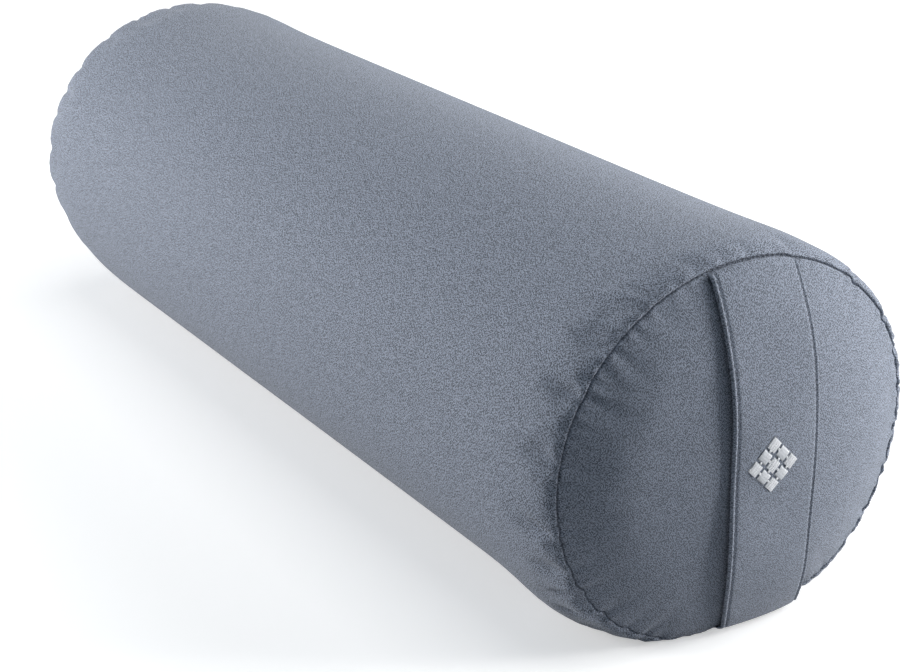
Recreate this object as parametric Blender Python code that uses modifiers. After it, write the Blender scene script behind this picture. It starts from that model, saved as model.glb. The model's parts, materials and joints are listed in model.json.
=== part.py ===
"""Round yoga bolster: a sewn cover with a carry band, a long zip and a filled inner bag.

Metres, +Z up. The bolster lies along X with its carry band at the +X end. The origin is
the middle of the flat foot that the settled bolster rests on, so z = 0 is the floor.
Everything soft is a loft between sections that differ along the length, so its rows of
points are worked out here and skinned. The zip's hard parts are boxes and a flat outline.
"""
import math

import bmesh
import bpy
from mathutils import Vector

# Overall form of the filled cover
TUBE_LENGTH = 0.650
TUBE_RADIUS = 0.110
SEAM_RADIUS = 0.1002
SHOULDER_LENGTH = 0.048
END_CROWN = 0.0256
CROWN_POWER = 2.4
SETTLE = 0.0143
SPREAD = 1.054
TOP_DIP = 0.0054
DIP_POWER = 8

# Cloth, thread and the clearance that pieces keep
CLEARANCE = 0.0003
COVER_WALL = 0.0010
BAG_WALL = 0.0006
SEAM_THREAD_RADIUS = 0.00027
BAG_THREAD_RADIUS = 0.00018
STITCH_RADIUS = 0.00025

# Carry band on the front disc
HANDLE_WIDTH = 0.053
HANDLE_SHIFT = 0.0005
HANDLE_PLY = 0.0008
FINGER_GAP = 0.0056
HANDLE_FLATNESS = 3.0
HANDLE_DRIFT = 0.016
DRIFT_POWER = 2.4
STITCH_INSET = 0.0025

# Embroidered lozenges on the band
MOTIF_SHIFT = -0.002
MOTIF_RAISE = 0.005
LOZENGE_SIDE = 0.0062
LOZENGE_SPACE = 0.0012
LINK_WIDTH = 0.0012
THREAD_HEIGHT = 0.0005
LOZENGES = 3

# Zip along the back
ZIP_END_MARGIN = 0.027
SLOT_WIDTH = 0.0070
TAPE_WIDTH = 0.0145
TAPE_WALL = 0.0006
TAPE_OVERRUN = 0.012
CHAIN_GAP = 0.0012
COIL_WIDTH = 0.0023
COIL_HEIGHT = 0.0012
ZIP_STITCH_OFFSET = 0.0060
STOP_LENGTH = 0.0030
STOP_RISE = 0.0009
SLIDER_LENGTH = 0.0110
SLIDER_WIDTH = 0.0080
SLIDER_PLATE = 0.0008
SLIDER_NECK = 0.0006
SLIDER_NECK_LENGTH = 0.0040
BRIDGE_LENGTH = 0.0050
BRIDGE_WIDTH = 0.0012
BRIDGE_BAR = 0.0008
BRIDGE_ROOM = 0.0022
PULL_LENGTH = 0.0210
PULL_WIDTH = 0.0060
PULL_EYE_WIDTH = 0.0020
PULL_ARM = 0.0010
PULL_THICKNESS = 0.0010

# Sampling of the soft forms
COLUMNS = 30
SHOULDER_STEPS = (0.0, 0.06, 0.22, 0.55, 1.0)
CROWN_STEPS = (1.0, 0.90, 0.72, 0.50, 0.25)
HANDLE_ROWS = 16
HANDLE_COLUMNS = 3
SHARP_ANGLE = math.radians(40)

# Values that follow from the ones above
CENTRE_HEIGHT = TUBE_RADIUS - SETTLE
COVER_SEAM_HALF = 2 * SEAM_THREAD_RADIUS + CLEARANCE
BAG_SEAM_HALF = 2 * BAG_THREAD_RADIUS + CLEARANCE
BAG_INSET = COVER_WALL + CLEARANCE
FILLING_INSET = BAG_INSET + BAG_WALL + CLEARANCE
SLOT_REACH = TUBE_LENGTH / 2 - SHOULDER_LENGTH - ZIP_END_MARGIN
TAPE_REACH = SLOT_REACH + TAPE_OVERRUN
ZIP_REACH = TUBE_LENGTH / 2 - SHOULDER_LENGTH
TAPE_DEPTH = COVER_WALL + CLEARANCE
PLATE_DEPTH = TAPE_DEPTH + TAPE_WALL + CLEARANCE
TAPE_DENT = TAPE_WALL + CLEARANCE
SLIDER_DENT = TAPE_DENT + SLIDER_PLATE + CLEARANCE
CHAIN_ANGLE = math.asin(CHAIN_GAP / 2 / TUBE_RADIUS)
SLOT_ANGLE = math.asin(SLOT_WIDTH / 2 / TUBE_RADIUS)
TAPE_ANGLE = math.asin(TAPE_WIDTH / TUBE_RADIUS)
DENT_ANGLE = math.asin((TAPE_WIDTH + 4 * CLEARANCE) / TUBE_RADIUS)

# Cloth and metal colours, linear
SLATE_CLOTH = (0.185, 0.208, 0.262)
SLATE_THREAD = (0.130, 0.150, 0.195)
ZIP_CLOTH = (0.160, 0.182, 0.232)
NATURAL_COTTON = (0.640, 0.585, 0.480)
HULL_BROWN = (0.400, 0.290, 0.170)
SILVER_THREAD = (0.740, 0.755, 0.790)
ZIP_METAL = (0.560, 0.570, 0.580)


def clear_scene():
    """Remove whatever the file opened with."""
    for thing in list(bpy.data.objects):
        bpy.data.objects.remove(thing, do_unlink=True)


def collection(name):
    made = bpy.data.collections.new(name)
    bpy.context.scene.collection.children.link(made)
    return made


def material(name, colour, roughness, metallic=0.0):
    made = bpy.data.materials.new(name)
    made.use_nodes = True
    shader = made.node_tree.nodes["Principled BSDF"]
    shader.inputs["Base Color"].default_value = (*colour, 1.0)
    shader.inputs["Roughness"].default_value = roughness
    shader.inputs["Metallic"].default_value = metallic
    return made


def keep(piece, cloth, into, smooth=True):
    """Give a piece its material and its collection."""
    into.objects.link(piece)
    piece.data.materials.append(cloth)
    if smooth and piece.type == "MESH":
        piece.data.shade_smooth()
        piece.data.set_sharp_from_angle(angle=SHARP_ANGLE)
    return piece


# Sections of the cover and of everything inside it

def angles():
    """Directions round a section, from the zip at the back (+Y) over the top."""
    near = [-DENT_ANGLE, -SLOT_ANGLE, -CHAIN_ANGLE, CHAIN_ANGLE, SLOT_ANGLE]
    rest = 2 * math.pi - 2 * DENT_ANGLE
    return near + [DENT_ANGLE + rest * step / COLUMNS for step in range(COLUMNS)]


def section_point(x, radius, angle, inset):
    """A round section's point, spread sideways, dipped on top and pressed flat below."""
    rise = radius * math.sin(angle)
    share = max(0.0, rise / TUBE_RADIUS)
    along = max(0.0, 1 - abs(2 * x / TUBE_LENGTH) ** DIP_POWER)
    dip = TOP_DIP * share ** 2 * (3 - 2 * share) * along
    height = CENTRE_HEIGHT + rise - dip
    return Vector((x, SPREAD * radius * math.cos(angle), max(height, inset)))


def tube_radius(x, inset, seam_half):
    """Radius at x: full along the middle, drawn in over the shoulder to the seam."""
    end = TUBE_LENGTH / 2 - inset - seam_half
    share = min(1.0, max(0.0, (end - abs(x)) / SHOULDER_LENGTH))
    drawn_in = (TUBE_RADIUS - SEAM_RADIUS) * (1 - math.sqrt(1 - (1 - share) ** 2))
    return TUBE_RADIUS - inset - drawn_in


def zip_dent(x, angle):
    """How far the filled bag gives way behind the zip's slider and its tapes."""
    turned = abs(math.remainder(angle, 2 * math.pi))
    if abs(x) > ZIP_REACH or turned > DENT_ANGLE * 1.001:
        return 0.0
    return SLIDER_DENT if turned < SLOT_ANGLE * 1.001 else TAPE_DENT


def tube_stations(inset, seam_half):
    """Places along X where the tube has a ring, from the back seam to the front seam."""
    end = TUBE_LENGTH / 2 - inset - seam_half
    half = [end - step * SHOULDER_LENGTH for step in SHOULDER_STEPS]
    half += [SLOT_REACH, SLOT_REACH / 3]
    return [-x for x in half] + half[::-1]


def tube_rows(inset, seam_half, dented):
    rows = []
    for x in tube_stations(inset, seam_half):
        radius = tube_radius(x, inset, seam_half)
        row = []
        for angle in angles():
            dent = zip_dent(x, angle) if dented else 0.0
            row.append(section_point(x, radius - dent, angle, inset))
        rows.append(row)
    return rows


def crown_rise(share):
    """How far a crowned disc stands out of its seam's plane at a share of its radius."""
    return END_CROWN * (1 - share ** CROWN_POWER)


def disc_rows(side, inset, seam_half):
    """Rings of a crowned end disc and its middle point, in order from back to front."""
    rim = TUBE_LENGTH / 2 - inset + seam_half
    rows = []
    for share in CROWN_STEPS:
        x = side * (rim + crown_rise(share))
        radius = share * (SEAM_RADIUS - inset)
        rows.append([section_point(x, radius, angle, inset) for angle in angles()])
    rows.append([Vector((side * (rim + crown_rise(0.0)), 0.0, CENTRE_HEIGHT))])
    return rows if side > 0 else rows[::-1]


# Skinning rows of points into closed solids

def skin(mesh, rows, wraps, open_at=None):
    """Skin neighbouring rows with triangles, split alike so that nested layers never cross."""
    corners = [[mesh.verts.new(point) for point in row] for row in rows]
    for row in range(len(corners) - 1):
        here, there = corners[row], corners[row + 1]
        count = max(len(here), len(there))
        for step in range(count if wraps else count - 1):
            if open_at and open_at(row, step):
                continue
            after = (step + 1) % count
            if len(here) == 1:
                mesh.faces.new((here[0], there[step], there[after]))
            elif len(there) == 1:
                mesh.faces.new((here[step], here[after], there[0]))
            else:
                mesh.faces.new((here[step], here[after], there[after]))
                mesh.faces.new((here[step], there[after], there[step]))
    return [corner for row in corners for corner in row]


def mesh_piece(name, mesh):
    """Turn a closed mesh's faces outwards and put it in an object."""
    loose = [corner for corner in mesh.verts if not corner.link_faces]
    bmesh.ops.delete(mesh, geom=loose, context="VERTS")
    bmesh.ops.recalc_face_normals(mesh, faces=mesh.faces[:])
    data = bpy.data.meshes.new(name)
    mesh.to_mesh(data)
    mesh.free()
    return bpy.data.objects.new(name, data)


def ply(name, outer, inner, wraps, open_at=None):
    """A cloth ply: an outer and an inner skin, walled together along every open edge."""
    mesh = bmesh.new()
    outer_corners = skin(mesh, outer, wraps, open_at)
    inner_corners = skin(mesh, inner, wraps, open_at)
    partner = dict(zip(outer_corners, inner_corners))
    borders = [edge for edge in mesh.edges if edge.is_boundary and edge.verts[0] in partner]
    for edge in borders:
        first, second = edge.verts
        mesh.faces.new((first, second, partner[second], partner[first]))
    return mesh_piece(name, mesh)


def solid(name, rows):
    mesh = bmesh.new()
    skin(mesh, rows, wraps=True)
    return mesh_piece(name, mesh)


def thread(name, points, radius, closed, sides=0):
    """A thread laid through its points."""
    curve = bpy.data.curves.new(name, "CURVE")
    curve.dimensions = "3D"
    curve.bevel_depth = radius
    curve.bevel_resolution = sides
    curve.use_fill_caps = True
    spline = curve.splines.new("POLY")
    spline.points.add(len(points) - 1)
    for corner, point in zip(spline.points, points):
        corner.co = (*point, 1.0)
    spline.use_cyclic_u = closed
    return bpy.data.objects.new(name, curve)


# The cover and the inner bag are both a tube with two crowned discs

def cover_tube():
    """Outer tube of cloth, with a slot along the back for the zip."""
    stations = tube_stations(0.0, COVER_SEAM_HALF)

    def in_slot(row, step):
        lies_inside = abs(stations[row] + stations[row + 1]) / 2 < SLOT_REACH
        return lies_inside and 1 <= step <= 3

    outer = tube_rows(0.0, COVER_SEAM_HALF, dented=False)
    inner = tube_rows(COVER_WALL, COVER_SEAM_HALF, dented=False)
    return ply("cover_tube", outer, inner, True, in_slot)


def cover_disc(name, side):
    outer = disc_rows(side, 0.0, COVER_SEAM_HALF)
    inner = disc_rows(side, COVER_WALL, COVER_SEAM_HALF)
    return ply(name, outer, inner, True)


def bag_tube():
    """Inner bag's tube, pressed in where the zip lies against it."""
    outer = tube_rows(BAG_INSET, BAG_SEAM_HALF, dented=True)
    inner = tube_rows(BAG_INSET + BAG_WALL, BAG_SEAM_HALF, dented=True)
    return ply("inner_bag_tube", outer, inner, True)


def bag_disc(name, side):
    outer = disc_rows(side, BAG_INSET, BAG_SEAM_HALF)
    inner = disc_rows(side, BAG_INSET + BAG_WALL, BAG_SEAM_HALF)
    return ply(name, outer, inner, True)


def filling():
    """The hulls that fill the inner bag, as one solid of their outer shape."""
    back = disc_rows(-1, FILLING_INSET, BAG_SEAM_HALF)
    middle = tube_rows(FILLING_INSET, BAG_SEAM_HALF, dented=True)
    front = disc_rows(1, FILLING_INSET, BAG_SEAM_HALF)
    return solid("filling", back + middle + front)


def seam_thread(name, side, inset, radius):
    """The stitching that closes a round seam, in the mitre between tube and disc."""
    x = side * (TUBE_LENGTH / 2 - inset)
    ring = [section_point(x, SEAM_RADIUS - inset, angle, inset) for angle in angles()]
    return thread(name, ring, radius, closed=True)


# The carry band runs from the top of the front seam to its foot

def handle_edges():
    return HANDLE_SHIFT - HANDLE_WIDTH / 2, HANDLE_SHIFT + HANDLE_WIDTH / 2


def front_disc_x(y, height):
    share = min(1.0, math.hypot(y / SPREAD, height) / SEAM_RADIUS)
    return TUBE_LENGTH / 2 + COVER_SEAM_HALF + crown_rise(share)


def handle_place(lane, along):
    """Y of a lane across the band: it runs towards the zip's side near its foot."""
    return lane + HANDLE_DRIFT * max(0.0, -along) ** DRIFT_POWER


def handle_profile(lane, along):
    """The band's inner face: x and height over the centre, along from -1 to 1."""
    y = handle_place(lane, along)
    seam = math.sqrt(SEAM_RADIUS ** 2 - (y / SPREAD) ** 2)
    foot = 2 * HANDLE_PLY + 3 * CLEARANCE + 2 * STITCH_RADIUS
    reach = seam if along > 0 else min(seam, CENTRE_HEIGHT - foot)
    end_x = front_disc_x(y, reach) + CLEARANCE
    peak_x = front_disc_x(0.0, 0.0) + FINGER_GAP
    share = abs(along) ** HANDLE_FLATNESS
    return peak_x + (end_x - peak_x) * share, along * reach


def handle_point(lane, along, depth):
    """A point at a depth over the band's inner face, square to it."""
    x, height = handle_profile(lane, along)
    step = 0.001
    before = handle_profile(lane, along - step)
    after = handle_profile(lane, along + step)
    if along >= 1.0:
        after = (x, height)
    if along <= -1.0:
        before = (x, height)
    run, rise = after[0] - before[0], after[1] - before[1]
    length = math.hypot(run, rise)
    x += depth * rise / length
    height -= depth * run / length
    return Vector((x, handle_place(lane, along), CENTRE_HEIGHT + height))


def handle_rows(depth):
    low, high = handle_edges()
    rows = []
    for row in range(HANDLE_ROWS + 1):
        along = 2 * row / HANDLE_ROWS - 1
        lanes = [low + (high - low) * step / HANDLE_COLUMNS for step in range(HANDLE_COLUMNS + 1)]
        rows.append([handle_point(lane, along, depth) for lane in lanes])
    return rows


def handle_ply(name, depth):
    return ply(name, handle_rows(depth + HANDLE_PLY), handle_rows(depth), False)


def handle_stitch(name, lane):
    """One row of topstitching, close inside an edge of the band."""
    depth = 2 * HANDLE_PLY + 2 * CLEARANCE + STITCH_RADIUS
    ends = 1 - 2 * STITCH_RADIUS / SEAM_RADIUS
    rows = range(HANDLE_ROWS + 1)
    points = [handle_point(lane, ends * (2 * row / HANDLE_ROWS - 1), depth) for row in rows]
    return thread(name, points, STITCH_RADIUS, closed=False)


def lozenge_lines():
    """Grid lines across the motif: three cells to a lozenge, one to a space."""
    pitch = LOZENGE_SIDE + LOZENGE_SPACE
    start = -(LOZENGES * pitch - LOZENGE_SPACE) / 2
    lines = []
    for step in range(LOZENGES):
        low = start + step * pitch
        middle = low + LOZENGE_SIDE / 2
        lines += [low, middle - LINK_WIDTH / 2, middle + LINK_WIDTH / 2, low + LOZENGE_SIDE]
    return lines


def motif_rows(depth):
    """The motif's grid, turned on its corner and laid on the band's face."""
    lines = lozenge_lines()
    turn = math.sqrt(0.5)
    rows = []
    for first in lines:
        row = []
        for second in lines:
            lane = MOTIF_SHIFT + turn * (first - second)
            height = MOTIF_RAISE + turn * (first + second)
            seam = math.sqrt(SEAM_RADIUS ** 2 - (lane / SPREAD) ** 2)
            row.append(handle_point(lane, height / seam, depth))
        rows.append(row)
    return rows


def handle_motif():
    """Nine small embroidered lozenges, linked by a running thread."""

    def is_bare(row, step):
        row_space, step_space = row % 4 == 3, step % 4 == 3
        is_link = (row_space and step % 4 == 1) or (step_space and row % 4 == 1)
        return (row_space or step_space) and not is_link

    depth = 2 * HANDLE_PLY + 2 * CLEARANCE
    outer, inner = motif_rows(depth + THREAD_HEIGHT), motif_rows(depth)
    return ply("handle_motif", outer, inner, False, is_bare)


# The zip lies along the back of the tube at the height of its middle

def back_y(depth):
    """Y of a surface lying a depth under the cover's skin, on the zip's centre line."""
    return SPREAD * (TUBE_RADIUS - depth)


def zip_tape(name, side):
    """A woven tape behind one edge of the slot."""
    places = [x for x in tube_stations(0.0, COVER_SEAM_HALF) if abs(x) <= SLOT_REACH]
    stations = [-TAPE_REACH] + places + [TAPE_REACH]
    columns = [side * turn for turn in (CHAIN_ANGLE, SLOT_ANGLE, TAPE_ANGLE)]

    def rows(depth):
        radius = TUBE_RADIUS - depth
        return [[section_point(x, radius, turn, depth) for turn in columns] for x in stations]

    return ply(name, rows(TAPE_DEPTH), rows(TAPE_DEPTH + TAPE_WALL), False)


def box(name, low, high, origin=(0.0, 0.0, 0.0)):
    """A box between two corners, with its origin where it is wanted."""
    middle = [(a + b) / 2 - o for a, b, o in zip(low, high, origin)]
    size = [abs(b - a) for a, b in zip(low, high)]
    mesh = bmesh.new()
    bmesh.ops.create_cube(mesh, size=1.0)
    bmesh.ops.scale(mesh, vec=size, verts=mesh.verts[:])
    bmesh.ops.translate(mesh, vec=middle, verts=mesh.verts[:])
    piece = mesh_piece(name, mesh)
    piece.location = origin
    return piece


def coil_ends():
    """Where the coils start and stop: each end leaves room for a stop."""
    end = SLOT_REACH - CLEARANCE - STOP_LENGTH - CLEARANCE
    return -end, end


def zip_coil(name, side):
    """One row of nylon coil, on the inner edge of its tape."""
    low, high = coil_ends()
    near, far = side * CHAIN_GAP / 2, side * (CHAIN_GAP / 2 + COIL_WIDTH)
    corner = (low, back_y(COVER_WALL), CENTRE_HEIGHT + near)
    opposite = (high, back_y(COVER_WALL - COIL_HEIGHT), CENTRE_HEIGHT + far)
    return box(name, corner, opposite)


def zip_stop(name, at_front, near, far):
    """A stop crimped over the tape, proud enough to meet the slider."""
    low, high = coil_ends()
    start = high + CLEARANCE if at_front else low - CLEARANCE - STOP_LENGTH
    corner = (start, back_y(COVER_WALL), CENTRE_HEIGHT + near)
    proud = back_y(COVER_WALL - COIL_HEIGHT - STOP_RISE)
    opposite = (start + STOP_LENGTH, proud, CENTRE_HEIGHT + far)
    return box(name, corner, opposite)


def zip_stitch(name, side):
    """The row of stitching that holds a tape to the cover."""
    turn = side * math.asin(ZIP_STITCH_OFFSET / TUBE_RADIUS)
    depth = -(CLEARANCE + STITCH_RADIUS)
    stations = [x for x in tube_stations(0.0, COVER_SEAM_HALF) if abs(x) <= SLOT_REACH]
    points = [section_point(x, TUBE_RADIUS - depth, turn, 0.0) for x in stations]
    return thread(name, points, STITCH_RADIUS, closed=False)


def slider_middle():
    """The slider's origin at rest: on the coils' centre, up against the back stops."""
    low, _ = coil_ends()
    skin_y = back_y(COVER_WALL - COIL_HEIGHT - CLEARANCE)
    return Vector((low + CLEARANCE + SLIDER_LENGTH / 2, skin_y, CENTRE_HEIGHT))


def unite(piece, others, cutters):
    """Join boxes into one body; the boxes stay as hidden guides."""
    for other in others:
        cutters.objects.link(other)
        other.hide_render = True
        other.display_type = "WIRE"
        joined = piece.modifiers.new("join_" + other.name, "BOOLEAN")
        joined.operation = "UNION"
        joined.solver = "EXACT"
        joined.object = other
    return piece


def zip_slider(cutters):
    """Two plates either side of the coils, joined by a neck, with a bridge for the pull."""
    origin = slider_middle()
    ahead = SLIDER_LENGTH / 2
    plate_top = SLIDER_PLATE
    bridge_top = plate_top + BRIDGE_ROOM
    under = origin.y - back_y(PLATE_DEPTH)
    bite = SLIDER_PLATE / 4

    def part(name, length, low, high, width, middle=0.0):
        corner = origin + Vector((middle - length / 2, low, -width / 2))
        opposite = origin + Vector((middle + length / 2, high, width / 2))
        return box(name, corner, opposite, origin)

    top = part("zip_slider", SLIDER_LENGTH, 0.0, plate_top, SLIDER_WIDTH)
    rounded = top.modifiers.new("rounded", "BEVEL")
    rounded.width = SLIDER_PLATE / 4
    rounded.segments = 1
    post_x = BRIDGE_LENGTH / 2 - BRIDGE_BAR / 2
    lower_width = SLOT_WIDTH - 2 * CLEARANCE
    others = [
        part("slider_neck", SLIDER_NECK_LENGTH, -under - bite, bite, SLIDER_NECK, ahead / 3),
        part("slider_under", SLIDER_LENGTH, -under - SLIDER_PLATE, -under, lower_width),
        part("bridge_back", BRIDGE_BAR, bite, bridge_top + bite, BRIDGE_WIDTH, -post_x),
        part("bridge_front", BRIDGE_BAR, bite, bridge_top + bite, BRIDGE_WIDTH, post_x),
        part("bridge_bar", BRIDGE_LENGTH, bridge_top, bridge_top + BRIDGE_BAR, BRIDGE_WIDTH),
    ]
    return unite(top, others, cutters)


def flat_outline(name, outlines, thickness):
    """A flat plate from closed outlines; the second one is a hole."""
    curve = bpy.data.curves.new(name, "CURVE")
    curve.dimensions = "2D"
    curve.fill_mode = "BOTH"
    curve.extrude = thickness / 2
    for outline in outlines:
        spline = curve.splines.new("POLY")
        spline.points.add(len(outline) - 1)
        for corner, (x, y) in zip(spline.points, outline):
            corner.co = (x, y, 0.0, 1.0)
        spline.use_cyclic_u = True
    return bpy.data.objects.new(name, curve)


def zip_pull():
    """A flat tab whose end bar lies under the slider's bridge; it swings on that bar."""
    bar = PULL_THICKNESS / 2
    eye_half = PULL_EYE_WIDTH / 2
    neck_half = eye_half + PULL_ARM
    swing = math.hypot(BRIDGE_LENGTH / 2, BRIDGE_ROOM / 2 + BRIDGE_BAR)
    eye_end = swing + 2 * CLEARANCE
    tab_half = PULL_WIDTH / 2
    shoulder = eye_end + PULL_ARM
    round_steps = 6
    middle = PULL_LENGTH - tab_half
    outline = [(-bar, -neck_half), (shoulder, -neck_half), (shoulder + tab_half, -tab_half)]
    for step in range(round_steps + 1):
        turn = math.pi * (step / round_steps - 0.5)
        outline.append((middle + tab_half * math.cos(turn), tab_half * math.sin(turn)))
    outline += [(shoulder + tab_half, tab_half), (shoulder, neck_half), (-bar, neck_half)]
    eye = [(bar, -eye_half), (bar, eye_half), (eye_end, eye_half), (eye_end, -eye_half)]
    return flat_outline("zip_pull", [outline, eye], PULL_THICKNESS)


def build():
    clear_scene()
    parts = collection("round_yoga_bolster")
    cutters = collection("guides")
    cloth = material("slate_twill", SLATE_CLOTH, 0.9)
    sewing = material("slate_sewing_thread", SLATE_THREAD, 0.7)
    tape = material("zip_tape_weave", ZIP_CLOTH, 0.85)
    cotton = material("natural_cotton", NATURAL_COTTON, 0.95)
    hulls = material("grain_hulls", HULL_BROWN, 0.8)
    silver = material("silver_embroidery_thread", SILVER_THREAD, 0.45)
    metal = material("zip_metal", ZIP_METAL, 0.35, 1.0)

    for piece in (
        cover_tube(),
        cover_disc("cover_front_disc", 1),
        cover_disc("cover_back_disc", -1),
    ):
        keep(piece, cloth, parts)
    middle_of_wall = COVER_WALL / 2
    keep(seam_thread("front_seam_thread", 1, middle_of_wall, SEAM_THREAD_RADIUS), sewing, parts)
    keep(seam_thread("back_seam_thread", -1, middle_of_wall, SEAM_THREAD_RADIUS), sewing, parts)

    keep(handle_ply("handle_backing", 0.0), cloth, parts)
    keep(handle_ply("handle_face", HANDLE_PLY + CLEARANCE), cloth, parts)
    low, high = handle_edges()
    keep(handle_stitch("handle_stitch_open_edge", low + STITCH_INSET), sewing, parts)
    keep(handle_stitch("handle_stitch_flat_edge", high - STITCH_INSET), sewing, parts)
    keep(handle_motif(), silver, parts, smooth=False)

    near, far = CHAIN_GAP / 2, CHAIN_GAP / 2 + COIL_WIDTH
    for place, side in (("upper", 1), ("lower", -1)):
        keep(zip_tape("zip_tape_" + place, side), tape, parts, smooth=False)
        keep(zip_coil("zip_coil_" + place, side), tape, parts, smooth=False)
        keep(zip_stitch("zip_stitch_" + place, side), sewing, parts)
        stop = zip_stop("zip_top_stop_" + place, False, side * near, side * far)
        keep(stop, metal, parts, smooth=False)
    keep(zip_stop("zip_bottom_stop", True, -far, far), metal, parts, smooth=False)
    slider = keep(zip_slider(cutters), metal, parts, smooth=False)
    pull = keep(zip_pull(), metal, parts)
    pull.parent = slider
    pull.location = (0.0, SLIDER_PLATE + BRIDGE_ROOM / 2, 0.0)
    pull.rotation_euler = (math.pi / 2, 0.0, 0.0)

    middle_of_bag = BAG_INSET + BAG_WALL / 2
    keep(bag_tube(), cotton, parts)
    keep(bag_disc("inner_bag_front_disc", 1), cotton, parts)
    keep(bag_disc("inner_bag_back_disc", -1), cotton, parts)
    for name, side in (("inner_bag_front_thread", 1), ("inner_bag_back_thread", -1)):
        keep(seam_thread(name, side, middle_of_bag, BAG_THREAD_RADIUS), cotton, parts)
    keep(filling(), hulls, parts)


build()
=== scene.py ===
# %% [markdown]
# # A round yoga bolster, dressed for its photograph
#
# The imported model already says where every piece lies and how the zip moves. This script
# lays the looks over that frame: cloth with its gathers and its weave, stitches, an
# embroidered band, a zip with real coils. The numbers below are the driving sizes of the
# form. They are the same ones that the solids were made from, so that the new surfaces
# lie where the solids are.

# %% Load the frame
import json
import math

import bmesh
import bpy
import numpy as np
from mathutils import Matrix, Vector

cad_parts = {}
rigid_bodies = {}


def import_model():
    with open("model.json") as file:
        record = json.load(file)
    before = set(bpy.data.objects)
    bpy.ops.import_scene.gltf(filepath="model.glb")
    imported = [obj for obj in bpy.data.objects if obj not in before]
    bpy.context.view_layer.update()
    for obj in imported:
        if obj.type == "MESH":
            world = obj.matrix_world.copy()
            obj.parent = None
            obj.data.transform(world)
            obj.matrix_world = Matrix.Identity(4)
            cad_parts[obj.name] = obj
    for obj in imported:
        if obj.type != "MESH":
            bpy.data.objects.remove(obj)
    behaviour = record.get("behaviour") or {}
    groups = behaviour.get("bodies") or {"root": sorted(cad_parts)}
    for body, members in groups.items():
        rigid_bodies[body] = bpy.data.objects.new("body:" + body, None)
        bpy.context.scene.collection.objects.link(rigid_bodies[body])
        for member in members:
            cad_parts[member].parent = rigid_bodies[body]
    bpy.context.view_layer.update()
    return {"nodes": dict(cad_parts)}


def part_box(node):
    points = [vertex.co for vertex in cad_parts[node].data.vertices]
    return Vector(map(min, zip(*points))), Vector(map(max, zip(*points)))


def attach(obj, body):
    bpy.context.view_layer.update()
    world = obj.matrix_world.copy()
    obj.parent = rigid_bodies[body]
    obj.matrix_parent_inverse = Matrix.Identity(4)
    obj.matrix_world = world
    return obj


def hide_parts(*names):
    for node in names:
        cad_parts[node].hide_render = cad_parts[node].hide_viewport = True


for leftover in list(bpy.data.objects):
    bpy.data.objects.remove(leftover)
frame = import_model()

# %% Driving sizes of the form, in metres
TUBE_LENGTH = 0.650
TUBE_RADIUS = 0.110
SEAM_RADIUS = 0.1002
SHOULDER_LENGTH = 0.048
END_CROWN = 0.0256
CROWN_POWER = 2.4
SETTLE = 0.0143
SPREAD = 1.054
TOP_DIP = 0.0054
DIP_POWER = 8
COVER_WALL = 0.0010
CLEARANCE = 0.0003
CENTRE_HEIGHT = TUBE_RADIUS - SETTLE

# %% [markdown]
# ## The camera
#
# The photograph looks down at the bolster from beyond its front end. Its viewpoint was
# found by fitting the form's outline and its front seam to the picture, so the camera is
# written as the place it stood, the direction it looked in and how far it was rolled.
# An azimuth of 0 looks along +Y. The camera's matrix is made from the three directions
# that such a view has: to the right, up, and back towards the photographer.

# %% Camera
CAMERA_PLACE = (1.0400, -0.5961, 0.5086)
CAMERA_AZIMUTH = math.radians(58.892)
CAMERA_ELEVATION = math.radians(20.981)
CAMERA_ROLL = math.radians(0.337)
FOCAL_LENGTH = 82.14
SENSOR_WIDTH = 36.0


def directions(azimuth, elevation):
    """Right, up and back of a level view: back is the unit vector towards the viewer."""
    level = math.cos(elevation)
    back = Vector((math.sin(azimuth) * level, -math.cos(azimuth) * level, math.sin(elevation)))
    right = Vector((0, 0, 1)).cross(back).normalized()
    return right, back.cross(right), back


def make_camera():
    """The photograph's camera, from its place, its direction and its roll."""
    right, up, back = directions(CAMERA_AZIMUTH, CAMERA_ELEVATION)
    roll = Matrix.Rotation(CAMERA_ROLL, 3, back)
    columns = Matrix((roll @ right, roll @ up, back)).transposed()
    data = bpy.data.cameras.new("photo_view")
    data.lens = FOCAL_LENGTH
    data.sensor_width = SENSOR_WIDTH
    data.clip_start = 0.05
    camera = bpy.data.objects.new("photo_view", data)
    camera.matrix_world = Matrix.Translation(CAMERA_PLACE) @ columns.to_4x4()
    bpy.context.scene.collection.objects.link(camera)
    bpy.context.scene.camera = camera
    return camera


camera = make_camera()
print("camera at", [round(v, 3) for v in camera.location])

# %% [markdown]
# ## Surfaces from arrays
#
# Every cloth here is a grid: rows of points, each row with the same number of columns.
# A grid's faces follow from its counts alone, so one small function serves a tube, a
# disc and a band. Its UV map is a second grid, in metres, that tells the weave how the
# cloth was cut. Where the columns close on themselves, the map has one column more than
# the points, so that the weave doesn't run backwards across the join.

# %% Grids into meshes
def grid_faces(rows, columns, wraps):
    """Corners of each quad: a point, its neighbour in the row, and the two in the next row."""
    row = np.arange(rows - 1)[:, None] * columns
    here = np.arange(columns if wraps else columns - 1)[None, :]
    after = (here + 1) % columns
    quads = (row + here, row + after, row + columns + after, row + columns + here)
    return np.stack(quads, axis=-1).reshape(-1, 4)


def make_mesh(name, points, faces, uvs=None):
    """A smooth mesh object from points, faces of any size and a UV for each face corner."""
    mesh = bpy.data.meshes.new(name)
    mesh.from_pydata(points.reshape(-1, 3).tolist(), [], faces)
    if uvs is not None:
        layer = mesh.uv_layers.new(name="cloth")
        layer.data.foreach_set("uv", np.asarray(uvs, np.float32).ravel())
    mesh.polygons.foreach_set("use_smooth", np.ones(len(mesh.polygons), bool))
    mesh.update()
    piece = bpy.data.objects.new(name, mesh)
    bpy.context.scene.collection.objects.link(piece)
    return piece


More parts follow.
